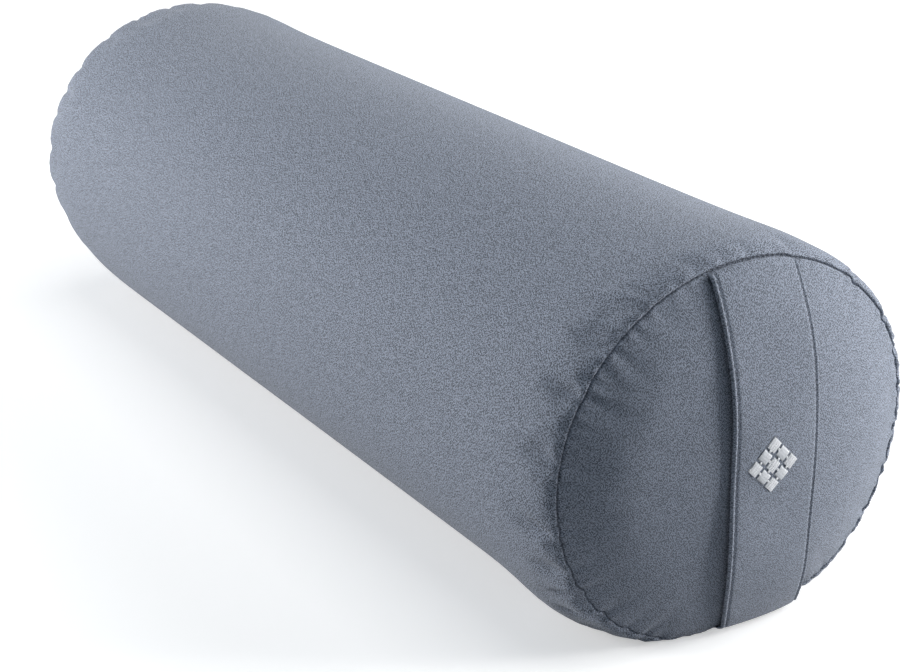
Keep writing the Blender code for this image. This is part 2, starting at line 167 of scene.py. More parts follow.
def face_outwards(piece):
    """Recalculate the normals of a closed or nearly closed surface."""
    shell = bmesh.new()
    shell.from_mesh(piece.data)
    bmesh.ops.recalc_face_normals(shell, faces=shell.faces[:])
    shell.to_mesh(piece.data)
    shell.free()
    return piece


def refine(piece):
    """One round of Subdivision Surface, the same in the viewport and in the render."""
    smooth = piece.modifiers.new("fine_cloth", "SUBSURF")
    smooth.levels = smooth.render_levels = 1
    return piece


# %% [markdown]
# ## The form of a filled, resting bolster
#
# Filled with grain, the cover is a round tube whose ends are drawn in to a smaller seam,
# closed by discs that crown outwards. Lying on a floor it settles: the sections spread
# a little sideways, the top dips along the middle, and the foot goes flat. All of that
# is one formula from a round section to a resting one, so the cloth can be gathered and
# simulated while it is still round, and settled afterwards.

# %% Sections
FOOT_ROUNDING = 0.0016


def section(x, radius, angle, inset):
    """The resting place of a round section's point.

    The angle starts at the zip's side (+Y) and goes over the top. The width is the
    radius times the spread; the height loses a smooth dip on top, and below it meets
    the floor, or an inset above it, through a soft maximum: floor + k ln(1 + exp(h / k)).
    """
    rise = radius * np.sin(angle)
    share = np.maximum(0.0, rise / TUBE_RADIUS)
    along = np.maximum(0.0, 1 - abs(2 * x / TUBE_LENGTH) ** DIP_POWER)
    dip = TOP_DIP * share ** 2 * (3 - 2 * share) * along
    over = CENTRE_HEIGHT + rise - dip - inset
    height = inset + FOOT_ROUNDING * np.logaddexp(0.0, over / FOOT_ROUNDING)
    return np.stack(np.broadcast_arrays(x, SPREAD * radius * np.cos(angle), height), axis=-1)


def crown(share):
    """How far a disc stands out of its seam's plane at a share of its radius."""
    return END_CROWN * (1 - share ** CROWN_POWER)


# %% The half profile, measured along the cloth from the seam
def running(steps):
    """Distance at each point of a line, from the steps between its points."""
    return np.concatenate(([0.0], np.cumsum(steps)))


def run_length(x, radius):
    """Distance along a line of points, from its first one."""
    return running(np.hypot(np.diff(x), np.diff(radius)))


def along_path(path, run, places):
    """Points of a path at distances along it."""
    return np.stack([np.interp(places, run, part) for part in path.T], axis=-1)


def tube_profile():
    """From the front seam over an elliptical shoulder and on to the middle of the tube."""
    turn = np.linspace(0.0, np.pi / 2, 400)
    x = TUBE_LENGTH / 2 - SHOULDER_LENGTH * (1 - np.cos(turn))
    radius = SEAM_RADIUS + (TUBE_RADIUS - SEAM_RADIUS) * np.sin(turn)
    return np.append(x, 0.0), np.append(radius, TUBE_RADIUS)


def disc_profile():
    """From the front seam over the crown to the middle of the disc."""
    share = np.linspace(1.0, 0.0, 400)
    return TUBE_LENGTH / 2 + crown(share), SEAM_RADIUS * share


tube_curve, disc_curve = tube_profile(), disc_profile()
tube_run, disc_run = run_length(*tube_curve), run_length(*disc_curve)
print("cloth from seam to middle: tube %.4f, disc %.4f" % (tube_run[-1], disc_run[-1]))

# %% [markdown]
# ## Letting the cloth gather
#
# A tube sewn to a smaller disc has cloth to spare, and the filling presses that spare
# cloth into small puckers that run away from the seam. They could be painted on as
# bumps, but their spacing, their slant and the way they die out follow from the cloth
# itself. So the round cover is simulated: the seams are pinned, the cloth beside them
# is given a little more length than the form needs, and pressure from inside makes it
# buckle. The rows lie close together near the seams, where the folds are small.

# %% Rows and columns of the simulated cover
SIM_COLUMNS = 216
SIM_ANGLES = np.arange(SIM_COLUMNS) * 2 * np.pi / SIM_COLUMNS
FIRST_STEP = 0.0015
STEP_GROWTH = 1.125
LONGEST_STEP = 0.0090
POLE_ROOM = 0.0045
SLOT_REACH = 0.250


def growing_steps(reach):
    """Distances from the seam, each step a little longer than the last, up to a reach."""
    steps = np.minimum(FIRST_STEP * STEP_GROWTH ** np.arange(200), LONGEST_STEP)
    places = running(steps)
    places = places[: np.searchsorted(places, reach) + 1]
    return places * reach / places[-1]


tube_steps = growing_steps(tube_run[-1])
slot_end_row = np.argmin(abs(tube_run[-1] - tube_steps - SLOT_REACH))
tube_steps[slot_end_row] = tube_run[-1] - SLOT_REACH
disc_steps = growing_steps(disc_run[-1] - POLE_ROOM)
print("rows from seam to middle: tube %d, disc %d" % (len(tube_steps), len(disc_steps)))


# %% The whole round form, from the back disc to the front disc
def read(curve, run, places):
    """x and radius of a profile at distances from the seam."""
    return np.interp(places, run, curve[0]), np.interp(places, run, curve[1])


def whole_profile():
    """Rows of x, radius and distance from the nearer seam, and the two seams' row numbers."""
    tube_x, tube_r = read(tube_curve, tube_run, tube_steps)
    disc_x, disc_r = read(disc_curve, disc_run, disc_steps)
    half_x = np.concatenate((tube_x[::-1], disc_x[1:]))
    half_r = np.concatenate((tube_r[::-1], disc_r[1:]))
    half_s = np.concatenate((tube_steps[::-1], disc_steps[1:]))
    front_seam = len(half_x) + len(tube_x) - 2
    back_seam = len(disc_x) - 1
    whole = [np.concatenate((part[:0:-1], part)) for part in (half_x, half_r, half_s)]
    whole[0][: len(half_x) - 1] *= -1
    return *whole, back_seam, front_seam


ROW_X, ROW_RADIUS, ROW_RUN, BACK_SEAM, FRONT_SEAM = whole_profile()
print("rows in all:", len(ROW_X), "seams at", ROW_X[BACK_SEAM], ROW_X[FRONT_SEAM])

# %% Gathers in the two seams: where the cloth is nipped, in degrees, and how deep, in mm
FRONT_NIPS = (
    (8, 0.4), (21, 0.9), (33, 1.1), (50, 1.0), (75, 0.4), (121, 0.4), (137, 0.5), (151, 1.0),
    (170, 0.5), (190, 0.9), (203, 0.6), (212, 1.2), (223, 1.4), (233, 1.5), (241, 1.1),
    (262, 0.9), (285, 0.9), (299, 0.7), (307, 1.2), (316, 0.8), (328, 1.3), (342, 0.8),
    (355, 0.5),
)
NIP_WIDTH = 0.022
NIP_REACH = 0.012
NIP_SPACING = (0.017, 0.027)
JAG = 0.0007
JAG_SHARE = 0.6
JAG_TURN = 4


def back_nips(rng):
    """Nips round the far seam, at uneven spacing."""
    nips, angle = [], 0.1
    while angle < 2 * np.pi:
        nips.append((math.degrees(angle), rng.uniform(0.4, 1.3)))
        angle += rng.uniform(*NIP_SPACING) / SEAM_RADIUS
    return nips


def ring_of(nips, width):
    """Depth round the seam: the sum of bell curves, one at each nip, less its mean."""
    place, depth = np.array(nips).T
    away = np.angle(np.exp(1j * (SIM_ANGLES[:, None] - np.radians(place)[None, :])))
    ring = (depth * np.exp(-(away / width) ** 2)).sum(axis=1)
    return 0.001 * (ring - ring.mean())


def start_form():
    """The round form before it is simulated, nipped in and a little jagged at the seams."""
    rng = np.random.default_rng(7)
    shape = (len(ROW_X), SIM_COLUMNS)
    x = np.broadcast_to(ROW_X[:, None], shape).copy()
    radius = np.broadcast_to(ROW_RADIUS[:, None], shape).copy()
    fade = np.exp(-ROW_RUN / NIP_REACH)[:, None]
    for side, nips in ((1, FRONT_NIPS), (-1, back_nips(rng))):
        here = (np.sign(ROW_X) == side)[:, None] * fade
        radius -= here * ring_of(nips, NIP_WIDTH)[None, :]
        slant = [
            (place + rng.uniform(-JAG_TURN, JAG_TURN), depth * rng.choice((-1, 1)))
            for place, depth in nips
        ]
        x += here * (JAG * 1000) * JAG_SHARE * ring_of(slant, NIP_WIDTH)[None, :]
    return x, radius


start_x, start_radius = start_form()
print("deepest nip: %.1f mm" % (1000 * (ROW_RADIUS[:, None] - start_radius).max()))

# %% The simulation
SPARE_CLOTH = 0.06
SPARE_REACH = (0.010, 0.070)
PINNED_MIDDLE = 0.045
SIMULATED_FRAMES = 20
DEEPEST_FOLD = 0.0042
# Angle round the tube in degrees, and the share of the folds that is kept there
FOLD_ROUND = (
    (0, 0.8), (30, 0.7), (60, 0.35), (85, 0.22), (115, 0.3), (135, 0.65), (150, 0.9),
    (170, 0.6), (195, 0.7), (225, 0.8), (270, 0.7), (330, 0.65),
)
FAR_SHARE = 0.6
DISC_SHARE = 0.16
DISC_REACH = 0.006
ZIP_CALM = 0.016


def round_mesh(x, radius):
    """The closed round cover as one grid with a pole at either end."""
    turned = np.broadcast_to(SIM_ANGLES, radius.shape)
    points = np.stack((x, radius * np.cos(turned), radius * np.sin(turned)), axis=-1)
    tip = TUBE_LENGTH / 2 + END_CROWN
    points = np.concatenate((points.reshape(-1, 3), [(-tip, 0, 0), (tip, 0, 0)]))
    faces = grid_faces(*radius.shape, wraps=True).tolist()
    count, last = radius.size, radius.size - SIM_COLUMNS
    for step in range(SIM_COLUMNS):
        after = (step + 1) % SIM_COLUMNS
        faces.append((count, after, step))
        faces.append((count + 1, last + step, last + after))
    return face_outwards(make_mesh("round_cover", points, faces))


def weight_rows(piece, name, weights):
    """A vertex group with one weight for each row; the poles count as the end rows."""
    group = piece.vertex_groups.new(name=name)
    for row, weight in enumerate(weights):
        first = row * SIM_COLUMNS
        group.add(list(range(first, first + SIM_COLUMNS)), float(weight), "REPLACE")
    count = len(weights) * SIM_COLUMNS
    group.add([count, count + 1], float(weights[0]), "REPLACE")
    return name


def add_cloth(piece):
    """Cloth that is pinned at the seams, pressed from inside and eased beside the seams."""
    held = (ROW_RUN == 0) | (ROW_RADIUS < PINNED_MIDDLE)
    near, far = SPARE_REACH
    uneased = np.clip((ROW_RUN - near) / (far - near), 0, 1)
    cloth = piece.modifiers.new("filled_cover", "CLOTH")
    sim = cloth.settings
    sim.quality = 5
    sim.mass = 0.3
    sim.tension_stiffness = sim.compression_stiffness = 20
    sim.shear_stiffness = 5
    sim.bending_stiffness = 8
    sim.use_pressure = True
    sim.uniform_pressure_force = 4
    sim.vertex_group_mass = weight_rows(piece, "held", held)
    sim.vertex_group_shrink = weight_rows(piece, "uneased", uneased)
    sim.shrink_min = -SPARE_CLOTH
    sim.shrink_max = 0
    sim.effector_weights.gravity = 0
    cloth.collision_settings.use_collision = False
    cloth.point_cache.frame_start = 1
    cloth.point_cache.frame_end = SIMULATED_FRAMES


def simulated_points(piece, shape):
    """Step the frames, read the settled grid and throw the helper away."""
    scene = bpy.context.scene
    for number in range(1, SIMULATED_FRAMES + 1):
        scene.frame_set(number)
    settled = piece.evaluated_get(bpy.context.evaluated_depsgraph_get()).to_mesh()
    points = np.empty(len(settled.vertices) * 3, np.float32)
    settled.vertices.foreach_get("co", points)
    bpy.data.objects.remove(piece, do_unlink=True)
    scene.frame_set(1)
    return points.reshape(-1, 3)[: shape[0] * shape[1]].reshape(*shape, 3).astype(float)


def soft_limit(offset, limit):
    """Keeps an offset under a limit, through the hyperbolic tangent."""
    return limit * np.tanh(offset / limit)


def fold_strength():
    """How much of the simulated folds each point keeps.

    The bolster was turned and patted before the picture, so the tube's folds stayed at
    the sides and below, and the discs are taut: their share falls off from the seam.
    """
    place, share = np.array(FOLD_ROUND).T
    around = np.interp(np.degrees(SIM_ANGLES), place, share, period=360)[None, :]
    far_end = (ROW_X < 0)[:, None]
    around = np.where(far_end, FAR_SHARE, around)
    outside = (abs(ROW_X) > TUBE_LENGTH / 2)[:, None]
    taut = DISC_SHARE + (1 - DISC_SHARE) * np.exp(-ROW_RUN[:, None] / DISC_REACH)
    return around * np.where(outside, taut, 1.0)


def gathered_form():
    """x, radius and turn of the gathered cover, still round; the turn is added to the angle.

    The simulation also swells the form as a whole. Each row's mean is taken off, so that
    the fitted profile stays and only the folds are kept, no deeper than a set limit.
    """
    piece = round_mesh(start_x, start_radius)
    add_cloth(piece)
    points = simulated_points(piece, start_radius.shape)
    radius = np.hypot(points[..., 1], points[..., 2])
    turned = np.angle(np.exp(1j * (np.arctan2(points[..., 2], points[..., 1]) - SIM_ANGLES)))
    fold = radius - radius.mean(axis=1, keepdims=True)
    shift = points[..., 0] - points[..., 0].mean(axis=1, keepdims=True)
    keep = fold_strength()
    x = ROW_X[:, None] + keep * soft_limit(shift, DEEPEST_FOLD)
    radius = ROW_RADIUS[:, None] + keep * soft_limit(fold, DEEPEST_FOLD)
    return x, radius, turned * keep


def calmed_by_zip(grid, plain):
    """Folds fade out beside the zip, whose tapes hold the cloth flat."""
    arc = TUBE_RADIUS * np.angle(np.exp(1j * SIM_ANGLES))[None, :]
    beyond = np.maximum(0.0, abs(ROW_X[:, None]) - SLOT_REACH)
    calm = np.exp(-(arc / ZIP_CALM) ** 4 - (beyond / ZIP_CALM) ** 2)
    return plain + (grid - plain) * (1 - calm)


plain_form = (ROW_X[:, None], ROW_RADIUS[:, None], 0.0)
sim_x, sim_radius, sim_turn = map(calmed_by_zip, gathered_form(), plain_form)
print("deepest fold: %.1f mm" % (1000 * abs(sim_radius - ROW_RADIUS[:, None]).max()))

# %% [markdown]
# ## Pleats
#
# The simulation gives the small, even gathers. A sewn seam also has a few sharp places of
# its own: a pleat that was caught by the needle, a jump where the sewing was steered back,
# a dimple in the cloth behind it. They are narrower than a simulated column, so the grid
# is first made finer, through each row's Fourier series, which adds no corners. Each
# sharp place is then written as a short formula at a known angle.

# %% Twice as many columns
FINER = 2
COLUMNS = FINER * SIM_COLUMNS
SLOT_WIDTH = 0.0070
SLOT_ANGLE = math.asin(SLOT_WIDTH / 2 / TUBE_RADIUS)
LIP_COLUMN = 2


def finer(grid):
    """More columns in each row: the same Fourier series, read at more angles."""
    return np.fft.irfft(np.fft.rfft(grid, axis=1), n=COLUMNS, axis=1) * FINER


def round_angles():
    """Evenly spaced columns from the zip's middle, but for two that lie on the slot's lips."""
    angle = np.arange(COLUMNS) * 2 * np.pi / COLUMNS
    angle[LIP_COLUMN], angle[-LIP_COLUMN] = SLOT_ANGLE, 2 * np.pi - SLOT_ANGLE
    return angle


ANGLES = round_angles()
cover_x, cover_radius = finer(sim_x), finer(sim_radius)
cover_angle = ANGLES + finer(sim_turn)
print("columns:", COLUMNS, "a column is %.1f mm wide" % (1000 * TUBE_RADIUS * ANGLES[5] / 5))

# %% Jumps of the seam, pleats and dimples at the front, in degrees and millimetres
# A jump: angle, depth. A pleat: angle at the seam, angle at its tip, length, height, width.
# A dimple: angle, distance from the seam, depth, width. Slack: which end, angle, spread in
# degrees, depth, distance from the seam, reach. The full side: the same, without the end.
JOGS = (
    (76, 0.7), (51, 1.1), (33, 1.0), (21, 0.7), (212, -0.4), (223, -0.5), (234, -0.6),
    (242, -0.4), (299, 0.5), (328, 0.7), (346, -0.4),
)
JOG_SNAP = 0.016
JOG_FADE = 0.075
JOG_REACH = 6.0
PLEATS = (
    (121.0, 126.0, 42, 1.70, 2.6), (133.0, 137.0, 16, 0.60, 2.2), (146.0, 149.0, 14, 0.45, 2.0),
    (192.0, 182.0, 26, 1.60, 2.0), (209.0, 215.0, 42, 1.80, 2.2), (220.0, 221.0, 32, 1.80, 2.1),
    (232.0, 236.0, 30, 1.60, 2.1), (243.0, 248.0, 20, 1.10, 2.0), (76.0, 80.0, 14, 0.45, 1.8),
    (51.0, 55.0, 16, 0.60, 1.9), (328.0, 324.0, 22, 0.90, 2.0), (307.0, 300.0, 24, 0.90, 2.0),
)
PLEAT_START = 4.0
DIMPLES = (
    (130.5, 12.5, 1.6, 8.0), (153.5, 9.5, 1.0, 6.0), (166.5, 10.5, 0.9, 6.0),
    (203.0, 12.0, 0.6, 7.0),
)
SLACK = (
    (1, 346.0, 30.0, 2.6, 0.0, 45.0), (1, 290.0, 13.0, 3.0, 0.0, 40.0),
    (1, 231.0, 15.0, -2.8, 46.0, 27.0), (-1, 214.0, 24.0, 2.0, 15.0, 35.0),
)
FULL_SIDE = (168.0, 46.0, 2.1, 27.0, 16.0)
SEAM_REACH = 3.5
SLACK_ON_DISC = 30.0


def away_from(degrees):
    """Signed angle from a place round the cover to every column."""
    return np.angle(np.exp(1j * (ANGLES[None, :] - np.radians(degrees))))


def jumps(run):
    """A quick hyperbolic tangent inside a slower exponential fade, close to the seam only."""
    added = 0.0
    for place, depth in JOGS:
        away = away_from(place)
        added = added + depth * np.tanh(away / JOG_SNAP) * np.exp(-abs(away) / JOG_FADE)
    return added * np.exp(-run / JOG_REACH)


def pleats(run):
    """Ridges that leave the seam at one angle and end at another, each with a hollow beside it.

    With d the distance across a pleat and w its width, the ridge is exp(-(d / w)^2) and the
    hollow 0.9 exp(-((d - 2.2 w) / 1.6 w)^2); both thin out as (1 - s^2)^2 along the pleat,
    and the stitches hold them flat in the first millimetres behind the seam.
    """
    rise = 1 - 0.8 * np.exp(-(run / PLEAT_START) ** 2)
    added = 0.0
    for place, tip, length, height, width in PLEATS:
        share = np.clip(run / length, 0, 1)
        across = 1000 * TUBE_RADIUS * away_from(place + (tip - place) * share)
        ridge = np.exp(-(across / width) ** 2)
        hollow = 0.9 * np.exp(-((across - 2.2 * width) / (1.6 * width)) ** 2)
        added = added + height * (1 - share ** 2) ** 2 * (ridge - hollow)
    return added * rise


def dimples(run):
    """Round hollows: a bell curve of the distance from a place on the cloth."""
    added = 0.0
    for place, centre, depth, width in DIMPLES:
        across = 1000 * TUBE_RADIUS * away_from(place)
        added = added - depth * np.exp(-(across ** 2 + (run - centre) ** 2) / width ** 2)
    return added


def bell(run, place, spread, centre, reach):
    """A wide bell curve round the cover times one along the cloth."""
    turn = np.degrees(away_from(place))
    return np.exp(-(turn / spread) ** 2) * np.exp(-((run - centre) / reach) ** 2)


def front_detail(run, on_disc):
    """Radius added at the front end; on the disc it dies out close to the seam."""
    added = jumps(run) + pleats(np.where(on_disc, 0, run)) + dimples(run * ~on_disc)
    return (ROW_X > 0)[:, None] * added * np.where(on_disc, np.exp(-run / SEAM_REACH), 1.0)


def slack(run, on_disc):
    """Radius lost where the filling doesn't reach, less and less on the disc.

    A negative depth is a place where the filling sags outwards.
    """
    lost = 0.0
    for side, place, spread, depth, centre, reach in SLACK:
        lost = lost + (side * ROW_X > 0)[:, None] * depth * bell(run, place, spread, centre, reach)
    return lost * np.where(on_disc, np.exp(-(run / SLACK_ON_DISC) ** 2), 1.0)


run_mm = 1000 * ROW_RUN[:, None]
on_disc = (abs(ROW_X) > TUBE_LENGTH / 2)[:, None]
cover_radius += 0.001 * (front_detail(run_mm, on_disc) - slack(run_mm, on_disc))
place, spread, height, centre, reach = FULL_SIDE
fullness = height * bell(run_mm, place, spread, centre, reach)
cover_x += 0.001 * (on_disc & (ROW_X > 0)[:, None]) * fullness
print("deepest place: %.1f mm" % (1000 * (ROW_RADIUS[:, None] - cover_radius).max()))

# %% [markdown]
# ## Cover
#
# The gathered form is cut at its seams into a tube and two discs. At every seam the
# cloth turns inwards, as a seam allowance does, and what is left between two turned
# edges is the fine dark line that one sees on a sewn cover. The slot for the zip is left
# open, with its lips folded in. Discs near the ends of the band are pressed in a little,
# because the band's two plies are sewn into the same seam.

# %% Turning cloth in at a seam
SEAM_HALF_GAP = 0.00022
TURN_RUN = (0.0, 0.00013, 0.00034, 0.00070)
TURN_DEPTH = (0.00120, 0.00070, 0.00024, 0.00003)
HEM_RUN = (0.0010, 0.0045, 0.0090)
HEM_DEPTH = 0.00115
INWARD = (-0.96, -0.27)


def seam_rows(side, step, outwards, hem):
    """Rows of x, radius, angle and depth where a cloth turns in at a seam, from the inside out.

    side is the sign of the seam's x, and step walks away from the seam through the rows of
    the gathered cover. Each row is read between the seam's row and the next, then sunk
    along the seam's own inward direction. A hem, where there is one, lies under the
    cloth on the far side of the seam.
    """
    seam = FRONT_SEAM if side > 0 else BACK_SEAM
    rows = []
    if hem:
        for run in HEM_RUN[::-1]:
            rows.append(sunk_row(side, seam, -step, run, HEM_DEPTH, -outwards))
    for run, depth in zip(TURN_RUN, TURN_DEPTH):
        rows.append(sunk_row(side, seam, step, run, depth, outwards))
    return rows


def sunk_row(side, seam, step, run, depth, outwards):
    """The gathered cover at a distance from the seam, sunk by a depth."""
    reach = abs(ROW_RUN[seam : seam + 8 * step : step])
    place = np.searchsorted(reach, run, side="right") - 1
    share = (run - reach[place]) / (reach[place + 1] - reach[place])
    near, far = seam + place * step, seam + (place + 1) * step
    grids = (cover_x, cover_radius, cover_angle)
    x, radius, angle = [(1 - share) * grid[near] + share * grid[far] for grid in grids]
    x = x + side * depth * INWARD[0]
    radius = radius + depth * INWARD[1] + outwards * SEAM_HALF_GAP
    return x, radius, angle, np.full(COLUMNS, depth)


def stacked(rows):
    """Rows of x, radius, angle and inset as four grids."""
    return [np.stack([row[part] for row in rows]) for part in range(4)]


def plain_rows(rows):
    """Rows of the gathered cover as they are."""
    none = np.zeros(COLUMNS)
    return [(cover_x[row], cover_radius[row], cover_angle[row], none) for row in rows]


# %% The tube
def tube_rows():
    """Rows of the tube from hem to hem."""
    back = seam_rows(-1, 1, 1, hem=True)
    front = seam_rows(1, -1, 1, hem=True)
    return stacked(back + plain_rows(range(BACK_SEAM + 1, FRONT_SEAM)) + front[::-1])


def along_cloth(x, radius):
    """Distance along the cloth of each row, from the mean of the row's steps."""
    return running(np.hypot(np.diff(x, axis=0), np.diff(radius, axis=0)).mean(axis=1))


def slot_rows(x):
    """The rows between which the slot for the zip is open."""
    middle = x.mean(axis=1)
    return np.flatnonzero(abs(middle) <= SLOT_REACH + 1e-5)


LIP_ROLL = ((0.0005, 0.0004), (0.0010, 0.0), (0.0011, -0.0030), (0.0011, -0.0070))


def lip_points(x, radius, angle, rows, column, side):
    """Strips that roll a lip of the slot inwards: pairs of depth and reach towards the middle."""
    strips = []
    for depth, reach in LIP_ROLL:
        turned = angle[rows, column] - side * reach / TUBE_RADIUS
        strips.append(section(x[rows, column], radius[rows, column] - depth, turned, depth))
    return np.stack(strips, axis=1)


def cover_tube():
    """The tube as one grid without its slot, and a rolled strip along each lip of the slot."""
    x, radius, angle, inset = tube_rows()
    points = section(x, radius, angle, inset).reshape(-1, 3)
    faces = grid_faces(*x.shape, wraps=True)
    run = along_cloth(x, radius)
    width = np.append(ANGLES, 2 * np.pi) * TUBE_RADIUS
    map_grid = np.stack(np.meshgrid(run, width, indexing="ij"), axis=-1).reshape(-1, 2)
    corners = map_grid[grid_faces(len(run), COLUMNS + 1, wraps=False)]
    rows = slot_rows(x)
    row_of, column_of = faces[:, 0] // COLUMNS, faces[:, 0] % COLUMNS
    in_slot = (row_of >= rows[0]) & (row_of < rows[-1])
    in_slot &= (column_of < LIP_COLUMN) | (column_of >= COLUMNS - LIP_COLUMN)
    faces, corners = faces[~in_slot].tolist(), corners[~in_slot]
    lips, lip_maps = [], []
    for column, side in ((LIP_COLUMN, 1), (COLUMNS - LIP_COLUMN, -1)):
        strip = lip_points(x, radius, angle, rows, column, side)
        edge = (rows * COLUMNS + column)[:, None]
        first = len(points) + sum(len(lip) for lip in lips)
        added = first + np.arange(strip.shape[0] * strip.shape[1]).reshape(strip.shape[:2])
        numbers = np.concatenate((edge, added), axis=1)
        local = grid_faces(*numbers.shape, wraps=False)
        ring = numbers.reshape(-1)[local]
        faces += (ring if side < 0 else ring[:, ::-1]).tolist()
        place = side * np.array([SLOT_ANGLE * TUBE_RADIUS] + [-reach for _, reach in LIP_ROLL])
        lip_map = np.stack(np.meshgrid(run[rows], place, indexing="ij"), axis=-1).reshape(-1, 2)
        lip_maps.append(lip_map[local if side < 0 else local[:, ::-1]])
        lips.append(strip.reshape(-1, 3))
    points = np.concatenate([points, *lips])
    corners = np.concatenate([part.reshape(-1, 2) for part in (corners, *lip_maps)])
    quads = np.array(faces)
    used, renumbered = np.unique(quads, return_inverse=True)
    quads = renumbered.reshape(quads.shape).tolist()
    return face_outwards(make_mesh("cover_tube_cloth", points[used], quads, corners))


# %% [markdown]
# ## Where the band lies
#
# The carry band runs over the front disc from the top of the seam to its foot. Its path
# is a flat arch, x = peak + (end - peak) |t|^2.55 with t from -1 at the foot to 1 at the
# top. It lies close to the disc, a little looser low down at its open edge, and near its
# foot it was sewn in a little towards the zip's side. Everything on the band
# asks the same function for its place: a lane across the band, a share along it, and a
# depth over its inner face. The discs ask it too, to know where they are pressed in.

# %% The band's path
HANDLE_WIDTH = 0.0525
HANDLE_SHIFT = 0.0013
HANDLE_PLY = 0.0008
EDGE_GAP = 0.0009
LOW_GAP = 0.0012
LOW_PLACE = -0.62
LOW_SPREAD = 0.26
HANDLE_FLATNESS = 2.55
HANDLE_DRIFT = 0.016
DRIFT_POWER = 2.4
COVER_SEAM_HALF = 0.00084
FOOT_ROOM = 2 * HANDLE_PLY + 3 * CLEARANCE + 0.0005


def band_place(lane, along):
    """Y of a lane: it drifts by a power of the share below the middle."""
    return lane + HANDLE_DRIFT * np.maximum(0.0, -along) ** DRIFT_POWER


def front_disc_x(y, height):
    """x of the crowned front disc over a place in its seam's plane."""
    share = np.minimum(1.0, np.hypot(y / SPREAD, height) / SEAM_RADIUS)
    return TUBE_LENGTH / 2 + COVER_SEAM_HALF + crown(share)


def band_profile(lane, along):
    """x and height over the centre of the band's inner face."""
    y = band_place(lane, along)
    seam = np.sqrt(SEAM_RADIUS ** 2 - (y / SPREAD) ** 2)
    reach = np.where(along > 0, seam, np.minimum(seam, CENTRE_HEIGHT - FOOT_ROOM))
    end_x = front_disc_x(y, reach) + CLEARANCE
    peak_x = front_disc_x(y, 0.0) + EDGE_GAP
    x = peak_x + (end_x - peak_x) * abs(along) ** HANDLE_FLATNESS
    open_side = np.clip(0.5 - lane / HANDLE_WIDTH, 0, 1) ** 1.5
    loose = LOW_GAP * np.exp(-((along - LOW_PLACE) / LOW_SPREAD) ** 2)
    return x + open_side * loose * (1 - along ** 8), along * reach


def band_point(lane, along, depth):
    """A point over the band's inner face, along the profile's own normal."""
    step = 0.001
    x, height = band_profile(lane, along)
    ahead = band_profile(lane, np.minimum(along + step, 1.0))
    behind = band_profile(lane, np.maximum(along - step, -1.0))
    run, rise = ahead[0] - behind[0], ahead[1] - behind[1]
    length = np.hypot(run, rise)
    place = (x + depth * rise / length, band_place(lane, along), height - depth * run / length)
    return np.stack(np.broadcast_arrays(*place), axis=-1) + (0, 0, CENTRE_HEIGHT)


middle_of_band = band_point(np.array(0.0), np.array(0.0), 2 * HANDLE_PLY)
print("the band's middle stands at x = %.4f" % middle_of_band[0])

# %% The discs
BAND_PRESS = 0.0024
PRESS_REACH = 0.0060
PRESS_EDGE = 0.0035


def bell_step(value, width):
    """A smooth step from 0 to 1 round zero."""
    return 0.5 + 0.5 * np.tanh(value / width)


def press_under_band(side, radius, angle, run):
    """How far the disc's edge is pressed in where the band is sewn into its seam."""
    if side < 0:
        return np.zeros_like(radius)
    y, height = SPREAD * radius * np.cos(angle), radius * np.sin(angle)
    middle = HANDLE_SHIFT + np.where(height < 0, HANDLE_DRIFT, 0.0)
    inside = bell_step(HANDLE_WIDTH / 2 - abs(y - middle), PRESS_EDGE)
    return BAND_PRESS * inside * np.exp(-(run / PRESS_REACH) ** 2)


def cover_disc(name, side):
    """A crowned disc, from its hem over the seam's edge to its pole."""
    seam, last = (FRONT_SEAM, len(ROW_X)) if side > 0 else (BACK_SEAM, -1)
    rows = seam_rows(side, side, -1, hem=False) + plain_rows(range(seam + side, last, side))
    x, radius, angle, inset = stacked(rows)
    run = np.concatenate((TURN_RUN, abs(ROW_RUN[seam + side : None if last < 0 else last : side])))
    press = press_under_band(side, radius, angle, run[:, None])
    radius -= 0.5 * press
    x -= side * press
    points = section(x, radius, angle, inset)
    flat = np.stack((radius * np.cos(angle), radius * np.sin(angle)), axis=-1)
    pole = section(side * (TUBE_LENGTH / 2 + END_CROWN), 0.0, 0.0, 0.0)
    points = np.concatenate((points.reshape(-1, 3), pole[None]))
    quads = grid_faces(*x.shape, wraps=True)
    corners = flat.reshape(-1, 2)[quads].reshape(-1, 2)
    last = x.size - COLUMNS + np.arange(COLUMNS)
    fan = np.stack((last, np.roll(last, -1), np.full(COLUMNS, x.size)), axis=-1)
    fan_map = np.concatenate((flat.reshape(-1, 2), [(0.0, 0.0)]))[fan].reshape(-1, 2)
    faces = quads.tolist() + fan.tolist()
    return face_outwards(make_mesh(name, points, faces, np.concatenate((corners, fan_map))))


tube = cover_tube()
front_disc = cover_disc("cover_front_disc_cloth", 1)
back_disc = cover_disc("cover_back_disc_cloth", -1)
print("faces of the cover:", [len(piece.data.polygons) for piece in (tube, front_disc, back_disc)])

# %% [markdown]
# ## Threads
#
# Stitches, embroidery and zip coils are all short or long runs of thread. One function
# carries an elliptical section along many lines at once: at each point of a line it
# takes the line's direction, a given up direction, and the sideways direction square to
# both. Ends are drawn in and capped, so every strand is a closed body of a few faces.

# %% Strands from lines
def unit(vectors):
    """Vectors of length one."""
    return vectors / np.maximum(np.linalg.norm(vectors, axis=-1, keepdims=True), 1e-12)


